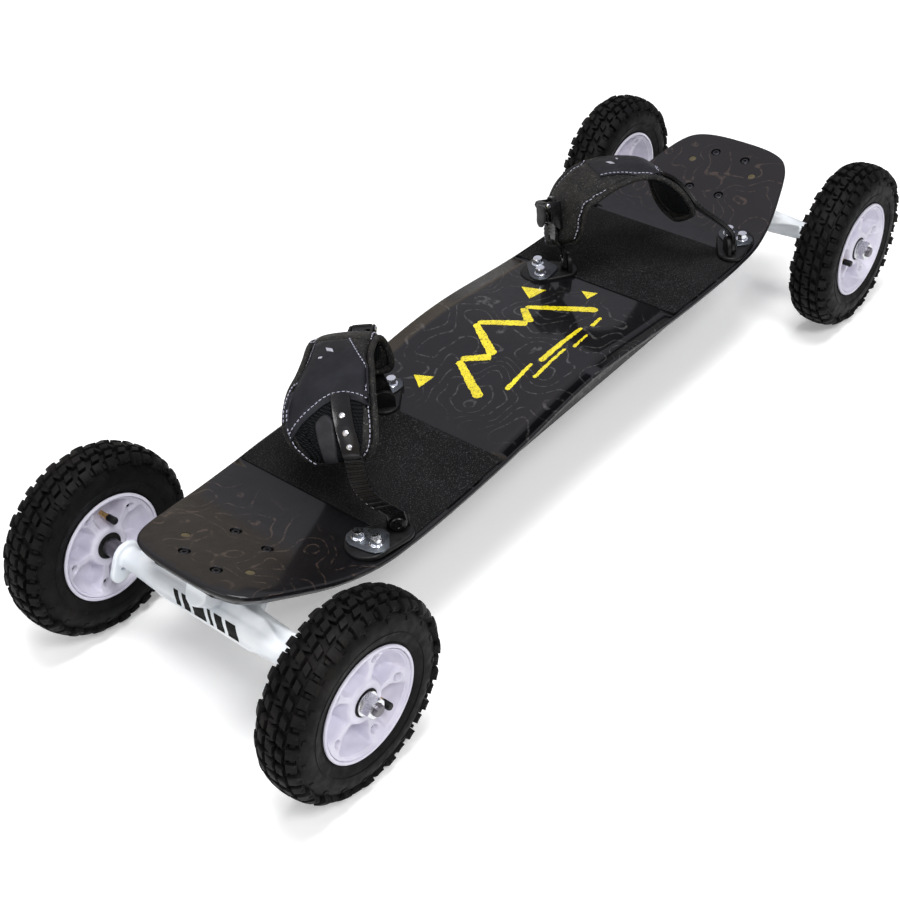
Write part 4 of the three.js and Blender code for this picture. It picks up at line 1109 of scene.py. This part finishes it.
class Binding:
    """One binding, in a frame with x along the strap, y across towards the toe and z up."""

    def __init__(self, end):
        self.end = end
        shape = SHAPES[end]
        self.arch = [tuple(row) + (shape["turn"], 0)[len(row) - 4:] for row in shape["arch"]]
        self.rivets, self.seat, self.bow = shape["rivets"], shape["seat"], shape["bow"]
        self.turn, lean = math.radians(shape["turn"]), math.radians(shape["lean"])
        self.across = Vector((-math.sin(self.turn), math.cos(self.turn), 0))
        up = UP * math.cos(lean) + TOE * math.sin(lean)
        toe = TOE * math.cos(lean) - UP * math.sin(lean)
        self.frame = frame_at(MIDDLE, ALONG, toe, up)
        self.stand = frame_at(MIDDLE, ALONG, TOE, UP)
        self.made = []

    def keep(self, o, slot="strap", body="binding", frame=None):
        self.made.append((o, slot, body, frame or self.frame))
        return o

    def at(self, t, v, level):
        """Point of the arch and the normal there: v from heel -1 to toe 1."""
        s, h, w, half, turn, droop = spline(self.arch, t)
        s1, h1, w1 = spline(self.arch, min(t + 0.01, 1))[:3]
        s0, h0, w0 = spline(self.arch, max(t - 0.01, 0))[:3]
        turn, droop = math.radians(turn), math.radians(droop)
        across = Vector((-math.sin(turn) * math.cos(droop), math.cos(turn) * math.cos(droop), -math.sin(droop)))
        n = Vector((s1 - s0, w1 - w0, h1 - h0)).cross(across).normalized()
        return Vector((s, w, h)) + across * (v * half) + n * level, n

    def pad(self):
        rings, count = [], 72
        for t in steps(0, 1, count):
            shrink = 0.35 + 0.65 * math.sin(min(1.0, min(t, 1 - t) * 16) * math.pi / 2)
            ring = []
            for v, u in SECTION:
                crown = (1.6 if u > 0 else 0.5) * (1 - v * v)
                ring.append(tuple(self.at(t, v * 0.965, u * (PAD_THICK / 2 - 1.0) * shrink + crown)[0]))
            rings.append(ring)
        pad = link("pad_body", mesh_of("pad_body", *loft_rings(rings)), PEBBLE, angle=None)
        inflate(pad)
        finish_smooth(pad, 80)
        # The side towards the foot is lined with fabric
        pad.data.materials.append(FABRIC)
        centre = [self.at(t, 0, 0) for t in steps(0, 1, 40)]
        for face in pad.data.polygons:
            c = face.center / MM
            p, n = min(centre, key=lambda q: (q[0] - c).length_squared)
            if (c - p).dot(n) < -1.5:
                face.material_index = 1
        self.bvh = BVHTree.FromObject(pad, bpy.context.evaluated_depsgraph_get())
        self.keep(pad, "pad")

    def skin(self, t, v, lift):
        """Point on the simulated pad's outside, lifted off it."""
        p, n = self.at(t, v, 0)
        hit = self.bvh.ray_cast((p + n * 30) * MM, -n, 60 * MM)
        if hit[0] is None:
            return p + n * (PAD_THICK / 2 + lift), n
        return hit[0] / MM + n * lift, n

    def line(self, path, lift):
        """Even line over the pad along (t, v) points."""
        return evened([self.skin(t, v, lift)[0] for t, v in path])

    def panel(self, name, rows, cols, place, thick, finish, slot="pad"):
        """Sewn panel on the pad: place(i, j) gives (t, v) with i, j from 0 to 1."""
        def corner(row, col):
            i, j = row / rows, col / cols
            rise = thick * (0.3 + 0.7 * smoothstep(0, 0.05, min(i, 1 - i, j, 1 - j)))
            t, v = place(i, j)
            return self.skin(t, v, rise)[0], self.skin(t, v, -0.6)[0]
        self.keep(link(name, mesh_of(name, *sheet(rows, cols, corner)), finish, angle=60), slot)

    def roll(self, name, path, lift, radius, finish):
        """Thin sewn roll over the pad along (t, v) points."""
        self.keep(tube(name, self.line(path, lift), radius, finish, sides=8), "pad")

    def stitches(self, name, path, lift):
        """Row of thread stitches over the pad along (t, v) points."""
        stitch, gap, radius = 3.0, 1.7, 0.55
        line = self.line(path, lift)
        lengths = [0.0]
        for a, b in zip(line, line[1:]):
            lengths.append(lengths[-1] + (b - a).length)

        def spot(d):
            for k in range(len(line) - 1):
                if d <= lengths[k + 1]:
                    return line[k].lerp(line[k + 1], (d - lengths[k]) / max(lengths[k + 1] - lengths[k], 1e-6))
            return line[-1]
        points, faces = [], []
        d = gap
        while d + stitch < lengths[-1]:
            a, b = spot(d), spot(d + stitch)
            e = (b - a).normalized()
            n = e.orthogonal().normalized()
            m = e.cross(n)
            rings = [[tuple(q + (n * c + m * s) * (radius * share)) for c, s in circle(6)]
                     for q, share in ((a - e * 0.2, 0.2), (a + e * 0.3, 1.0), (b - e * 0.3, 1.0), (b + e * 0.2, 0.2))]
            add_part(points, faces, loft_rings(rings))
            d += stitch + gap
        self.keep(link(name, mesh_of(name, points, faces), THREAD, angle=None), "pad")

    def cover(self):
        """Panels, seams and the rolled border on the pad."""
        def main_place(i, j):
            t = PANEL_START + (between(SEAM, PANEL_TOE + (PANEL_HEEL - PANEL_TOE) * j) - PANEL_START) * i
            toe, heel = between(TOE_EDGE, t), between(HEEL_EDGE, t)
            return t, toe + (heel - toe) * j

        self.panel("pad_panel", 48, 30, main_place, 1.7, LEATHER)
        self.panel("pad_panel_top", 40, 20, lambda i, j: (0.05 + 0.335 * i, 0.86 - 1.72 * j), 1.2, PEBBLE)
        self.panel("pad_recess", 30, 24, lambda i, j: (0.66 + 0.29 * i, (0.80 - 0.09 * i) * (1 - 2 * j)), 0.25, FABRIC)
        seam = [(between(SEAM, v), v) for v in steps(PANEL_TOE, PANEL_HEEL, 60)]
        self.roll("pad_seam_roll", [(t + 0.004, v) for t, v in seam], 0.9, 1.5, LEATHER)
        self.stitches("pad_stitch_seam", [(t - 0.018, v) for t, v in seam], 1.8)
        for tag, edge, stop, off, lift in (("toe", TOE_EDGE, 0.72, 0.045, 0.5), ("heel", HEEL_EDGE, 0.64, 0.04, 1.9)):
            along = [(t, between(edge, t)) for t in steps(PANEL_START, stop, 40)]
            self.stitches(f"pad_stitch_{tag}", [(t, v + off) for t, v in along], lift)
            self.roll(f"pad_roll_{tag}", along, 0.7, 1.1, LEATHER)
        for tag, side in (("toe", 1), ("heel", -1)):
            low = [(t, side * (0.90 - 0.12 * smoothstep(0.85, 0.97, t))) for t in steps(0.67, 0.97, 40)]
            self.stitches(f"pad_stitch_low_{tag}", low, 0.5)
            self.stitches(f"pad_stitch_high_{tag}", [(t, side * 0.91) for t in steps(0.05, PANEL_START, 40)], 0.6)
        border = []
        for start, stop, side in ((0.03, 0.97, 1), (0.97, 0.03, -1)):
            border += [(t, side * 0.985) for t in steps(start, stop, 89)]
            border += [(stop + side * 0.028 * math.sin(a), side * 0.985 * math.cos(a))
                       for a in steps(math.pi / 20, math.pi * 19 / 20, 18)]
        path = [self.at(t, v, 0.5)[0] for t, v in border]
        self.keep(tube("pad_binding", path, 3.2, PEBBLE, sides=12, closed=True), "pad")

        # Plastic tongue and a folded edge in the recess
        def tongue_place(i, j):
            u = 1 - 2 * j
            top = 0.705 + 0.03 * abs(u) ** 2.2
            t = top + (0.955 - top) * i
            return t, 0.10 * (t - 0.7) / 0.25 + 0.02 + u * 0.21
        self.panel("pad_tongue", 34, 14, tongue_place, 2.6, PLASTIC_SOFT, "strap")
        fold = [(0.72 + 0.2 * u, 0.50 - 0.24 * smoothstep(0, 1, u)) for u in steps(0, 1, 24)]
        self.roll("pad_fold", fold, 0.6, 1.1, FABRIC)
        # Plain light marks on the panel
        self.panel("pad_mark_1", 8, 10,
                   lambda i, j: (0.452 + 0.022 * i - 0.01 * j, 0.10 + 0.26 * j - 0.08 * i), 2.0, MARK)
        self.panel("pad_mark_2", 6, 8, lambda i, j: (0.487 + 0.010 * i, 0.34 + 0.14 * j), 2.0, MARK)

    def band(self, name, run):
        """Flat strap through rows of (x, z, y, half width, turn, extra thickness)."""
        thick, c = 3.8, 0.8
        rings = []
        for k, row in enumerate(run):
            s, h, w, half, turn, extra = (*row, 0.0)[:6]
            a, b = run[max(k - 1, 0)], run[min(k + 1, len(run) - 1)]
            y = Vector((-math.sin(turn), math.cos(turn), 0))
            n = Vector((b[0] - a[0], b[2] - a[2], b[1] - a[1])).cross(y).normalized()
            p = Vector((s, w, h))
            t0, t1 = -thick / 2, thick / 2 + extra
            lip = 0.7 if half > 7 and extra < 0.2 else 0.0
            ring = [(half - c, t0), (half, t0 + c), (half, t1 - c + lip), (half - c, t1 + lip), (half - c * 2.6, t1)]
            ring = [(-half + c, t0)] + ring + [(-y0, z0) for y0, z0 in ring[:0:-1]]
            rings.append([tuple(p + y * a0 + n * b0) for a0, b0 in ring])
        return self.keep(link(name, mesh_of(name, *loft_rings(rings)), GLOSS, angle=30))

    def riveted_strap(self):
        first, last = self.rivets[0], self.rivets[-1]

        def v_at(t):
            return first[1] + (last[1] - first[1]) * (t - first[0]) / (last[0] - first[0])
        seat = []
        for t in steps(0.645, 0.88, 17):
            p, n = self.skin(t, v_at(t), 2.7)
            seat.append((p.x, p.z, p.y, 9.6, math.radians(spline(self.arch, t)[4])))
        run = [(seat[0][0] - 2.5, seat[0][1] + 0.6, seat[0][2], 6.0, seat[0][4])] + seat
        x0, z0, y0 = seat[-1][:3]
        x1, z1, y1 = EYE, 14.0, 0.0
        count = int(math.dist((x0, y0, z0), (x1, y1, z1)) / 5.0)
        for k in range(count):
            for q, extra in ((0.15, 0.0), (0.3, 1.1), (0.75, 1.0), (0.9, 0.0)):
                u = (k + q) / count
                if u < 0.02 or u > 0.94:
                    continue
                x = x0 + (x1 - x0) * (smoothstep(0, 1, u) * 0.35 + u * 0.65)
                y = y0 + (y1 - y0) * u + self.bow * math.sin(math.pi * u ** 1.3)
                run.append((x, z0 + (z1 - z0) * u, y, 9.2, seat[-1][4] * (1 - u), extra))
        run += [(EYE, z, 0, half, 0) for z, half in ((12.5, 9.2), (5, 9.1), (0, 8.9), (-4, 7.8), (-7.5, 4.6))]
        self.band("strap_outboard_moulded", run)
        rivet = [(0.01, -3), (3.1, -3), (3.1, 0.4), (2.7, 1.2), (1.5, 1.8), (0.01, 2.0)]
        for i, (t, v) in enumerate(self.rivets):
            p, n = self.skin(t, v_at(t), 4.6)
            at = frame_at(p, n.cross(self.across).normalized(), n, self.across)
            self.keep(lathe(f"strap_rivet_{i + 1}", rivet, 24, STEEL, at), "steel")

    def seated(self, m=Matrix.Identity(4)):
        """Place of the buckle: turned with the pad, standing on its inboard side."""
        return move(self.seat[0], self.seat[2], 0) @ Matrix.Rotation(self.turn, 4, "Z") @ m

    def ladder(self):
        ls, lw = self.seat[0] - 13 * math.cos(self.turn), self.seat[2] - 13 * math.sin(self.turn)
        run = [(-EYE, z, 0, half, 0) for z, half in ((-7.5, 4.6), (-4, 7.8), (0, 8.9), (6, 8.9), (13, 8.8))]
        for k in range(1, 8):
            t = smoothstep(0, 1, k / 8)
            run.append((-EYE + (ls + EYE) * t, 13 + 15 * k / 8, lw * t * 0.7, 8.8, self.turn * t * 0.7))
        run.append((ls, 30, lw * 0.8, 8.8, self.turn * 0.8))
        for h in range(34, 70, 4):
            for rise, extra in ((0.0, 0.0), (0.4, 1.1), (1.6, 1.0), (3.2, 0.0)):
                share = 0.8 + 0.2 * min(1.0, (h + rise - 30) / 7)
                run.append((ls, h + rise, lw * share, 8.8, self.turn * share, extra))
        run += [(ls, 74.5, lw, 8.0, self.turn), (ls, 77, lw, 5.5, self.turn)]
        self.band("ladder_strap_toothed", run)

    def block(self, name, lo, hi, rim):
        corners = [(lo[0], lo[1]), (hi[0], lo[1]), (hi[0], hi[1]), (lo[0], hi[1])]
        self.keep(extruded(name, corners, lo[2], hi[2], GLOSS, self.seated(), rim))

    def buckle(self):
        hinge_x, hinge_z = -24.5, 69.0
        cheek = [(-8.6, 41), (-8.6, 73), (-23.5, 73.4), (-27, 72.4), (-28.7, 69), (-27, 65), (-20, 60), (-19.6, 48),
                 (-13, 41.4)]
        for tag, y in (("heel", -12.2), ("toe", 12.2)):
            at = self.seated(Matrix.Rotation(math.pi / 2, 4, "X"))
            self.keep(extruded(f"buckle_cheek_{tag}", cheek, -y - 1.4, -y + 1.4, GLOSS, at, rim=0.6))
        self.block("buckle_base", (-10.7, -11.5, 41), (-8.7, 11.5, 73), 0.5)
        self.block("buckle_bridge", (-20.5, -11.2, 48), (-16.8, 11.2, 61), 1.0)
        self.block("buckle_button", (-24, -6.5, 49.5), (-20.2, 6.5, 58), 1.2)
        at = self.seated(move(hinge_x, 0, hinge_z))
        pin = [(0.01, 14.6), (2.0, 14.6), (2.6, 14.0), (1.6, 13.5)]
        barrel = [(1.75, 10.6), (3.4, 10.6), (3.7, 10.2)]
        pin, barrel = ([(r, -y) for r, y in half] + half[::-1] for half in (pin, barrel))
        self.keep(lathe("buckle_pin", pin, 20, STEEL, at), "steel")
        rings = []
        for t in steps(0, 1, 18):
            z = hinge_z + 4.0 - t * 28
            x = hinge_x - 1.2 - 1.6 * math.sin(math.pi * min(1, t * 1.1)) - 3.6 * smoothstep(0.5, 1.0, t)
            half = 10.8 if t < 0.55 else 10.8 * math.sqrt(max(0.06, 1 - ((t - 0.55) / 0.47) ** 2.2))
            thick = 3.6 * (1 - 0.35 * t)
            rings.append([(x + squared(s, 0.6) * thick / 2, squared(c, 0.5) * half, z) for c, s in circle(16)])
        lever = link("buckle_lever_moulded", mesh_of("lever", *loft_rings(rings)), PLASTIC, self.seated(), angle=50)
        self.keep(lever, "strap", "lever")
        self.keep(lathe("buckle_lever_barrel", barrel, 24, GLOSS, at), "strap", "lever")

    def feet(self):
        low, top = 135.7, 141.0
        washer = [(0.5, -0.3), (6.6, -0.3), (7, 0.1), (7, 0.9), (6.6, 1.3), (0.5, 1.3)]
        pin = [(0.01, -5), (4, -5), (4, 2.3), (7.6, 2.3), (8.1, 2.8), (8.0, 4.0), (7.2, 4.8), (3.4, 5.2), (3.0, 4.4),
               (0.01, 4.3)]
        for tag, mid, pivot, side in (("inboard", (138, 64), (158, 42), -1), ("outboard", (326, -84), (296, -96), 1)):
            def own(o, slot="strap", frame=Matrix.Identity(4)):
                self.keep(o, slot, "board", frame)
            base = hull_outline([(*mid, 22), (*pivot, 15)], 40)
            own(extruded(f"foot_{tag}_base", base, low, top + 0.2, PLASTIC, rim=2.0, segments=3))
            dx, dy = (r2 * 10.5, r2 * 10.5) if side < 0 else (1.5, 9.8)
            bolts = [(mid[0] + k * dx, mid[1] + k * dy) for k in (-1, 1)]
            toward = Vector((pivot[0] - mid[0], pivot[1] - mid[1])).normalized() * 12
            plate = hull_outline([(x, y, 12.8) for x, y in bolts] + [(mid[0] + toward.x, mid[1] + toward.y, 10)], 10)
            own(extruded(f"foot_{tag}_plate", plate, top - 0.4, top + 2.4, PLATE, rim=0.8), "steel")
            for i, (x, y) in enumerate(bolts):
                at = move(x, y, top + 2.4) @ Matrix.Rotation(math.pi / 2, 4, "X") @ Matrix.Rotation(0.4 + i, 4, "Y")
                own(lathe(f"foot_{tag}_washer_{i + 1}", washer, 32, BRIGHT, at), "steel")
                own(hex_head(f"foot_{tag}_bolt_{i + 1}", 10, 8.2, BRIGHT, at, 0.0, 1.2), "steel")
            # Ear with its pin and the head that holds the strap's eye
            lo, hi = sorted((side * (EYE - 7.3), side * (EYE - 2.3)))
            ear = [(11 * math.cos(a), 11 * math.sin(a)) for a in steps(0, math.pi, 24)] + [(-11, -11.5), (11, -11.5)]
            solid = prism([(lo, y, z) for y, z in ear], [(hi, y, z) for y, z in ear])
            o = link(f"foot_{tag}_ear", mesh_of("ear", *solid), PLASTIC, angle=None)
            bevel(o, 0.9)
            own(o, "strap", self.stand)
            profile = [(r, side * (EYE + x)) for r, x in pin]
            own(lathe(f"foot_{tag}_pin", profile, 40, GLOSS, axis="X"), "black_steel", self.stand)

    def place(self):
        """Put every piece in the board's frame and on its body."""
        for o, slot, body, frame_b in self.made:
            mirror = MIRROR if self.end == "near" else Matrix.Identity(4)
            o.data.transform(mirror @ frame_b @ o.matrix_world)
            if self.end == "near":
                o.data.flip_normals()
            o.matrix_world = Matrix.Identity(4)
            o.name = f"{o.name}_{self.end}"
            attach(o, "board" if body == "board" else f"{body}_{self.end}")
        for piece, node in (("pad_body", "pad"), ("strap_outboard_moulded", "strap_outboard"),
                            ("ladder_strap_toothed", "ladder_strap"), ("buckle_base", "buckle"),
                            ("buckle_lever_moulded", "buckle_lever"), ("foot_inboard_base", "foot_inboard"),
                            ("foot_outboard_base", "foot_outboard")):
            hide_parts(f"{node}_{self.end}")


for end, _ in ENDS:
    b = Binding(end)
    for make_part in (b.pad, b.cover, b.riveted_strap, b.ladder, b.buckle, b.feet, b.place):
        make_part()


# Floor, backdrop and lights

floor_mesh = bpy.data.meshes.new("floor")
corners = [(i * 0.4, j * 0.4, -0.0002) for i in range(-20, 21) for j in range(-20, 21)]
tiles = [(i * 41 + j, i * 41 + j + 1, (i + 1) * 41 + j + 1, (i + 1) * 41 + j) for i in range(40) for j in range(40)]
floor_mesh.from_pydata(corners, [], tiles)
floor_mesh.materials.append(make_floor())
floor = bpy.data.objects.new("floor", floor_mesh)
bpy.context.scene.collection.objects.link(floor)

# Shiny surfaces see a studio: warm and dim near the ground, dark on one side, lighter overhead
world = bpy.data.worlds.new("world")
bpy.context.scene.world = world
n = Nodes(world)
direction = n.new("ShaderNodeTexCoord").outputs["Generated"]
height = n.new("ShaderNodeSeparateXYZ")
n.link(direction, height.inputs[0])
side = n.new("ShaderNodeVectorMath", operation="DOT_PRODUCT")
n.link(direction, side.inputs[0])
side.inputs[1].default_value = (-0.5962, 0.8028, 0.0)
low_part = n.mix(n.spread(side.outputs["Value"], -0.025, 0.02), (0.03, 0.03, 0.035), (0.66, 0.57, 0.47))
high_part = n.mix(n.spread(height.outputs["Z"], 0.62, 0.88), (0.62, 0.62, 0.70), (0.85, 0.79, 0.86))
studio = n.mix(n.spread(height.outputs["Z"], 0.29, 0.42), low_part, high_part)
rays = n.new("ShaderNodeLightPath")
seen = n.mix(rays.outputs["Is Glossy Ray"], (0.42, 0.42, 0.42), studio)
background = n.tree.nodes["Background"]
n.link(n.mix(rays.outputs["Is Camera Ray"], seen, (1.0, 1.0, 1.0)), background.inputs["Color"])
background.inputs["Strength"].default_value = 1.0

for name, place, size, power in (("key", (-0.9, -1.9, 2.7), (1.0, 0.8), 46), ("fill", (-2.6, 0.4, 1.8), (1.4, 1.4), 12),
                                 ("top", (-0.1, -0.3, 3.2), (1.6, 0.9), 66)):
    data = bpy.data.lights.new(name, "AREA")
    data.shape = "RECTANGLE"
    data.size, data.size_y = size
    data.energy = power
    o = bpy.data.objects.new(name, data)
    o.location = place
    o.rotation_mode = "QUATERNION"
    o.rotation_quaternion = (Vector((0, 0, 0.1)) - Vector(place)).to_track_quat("-Z", "Y")
    bpy.context.scene.collection.objects.link(o)

view = bpy.context.scene.view_settings
view.view_transform = "Standard"
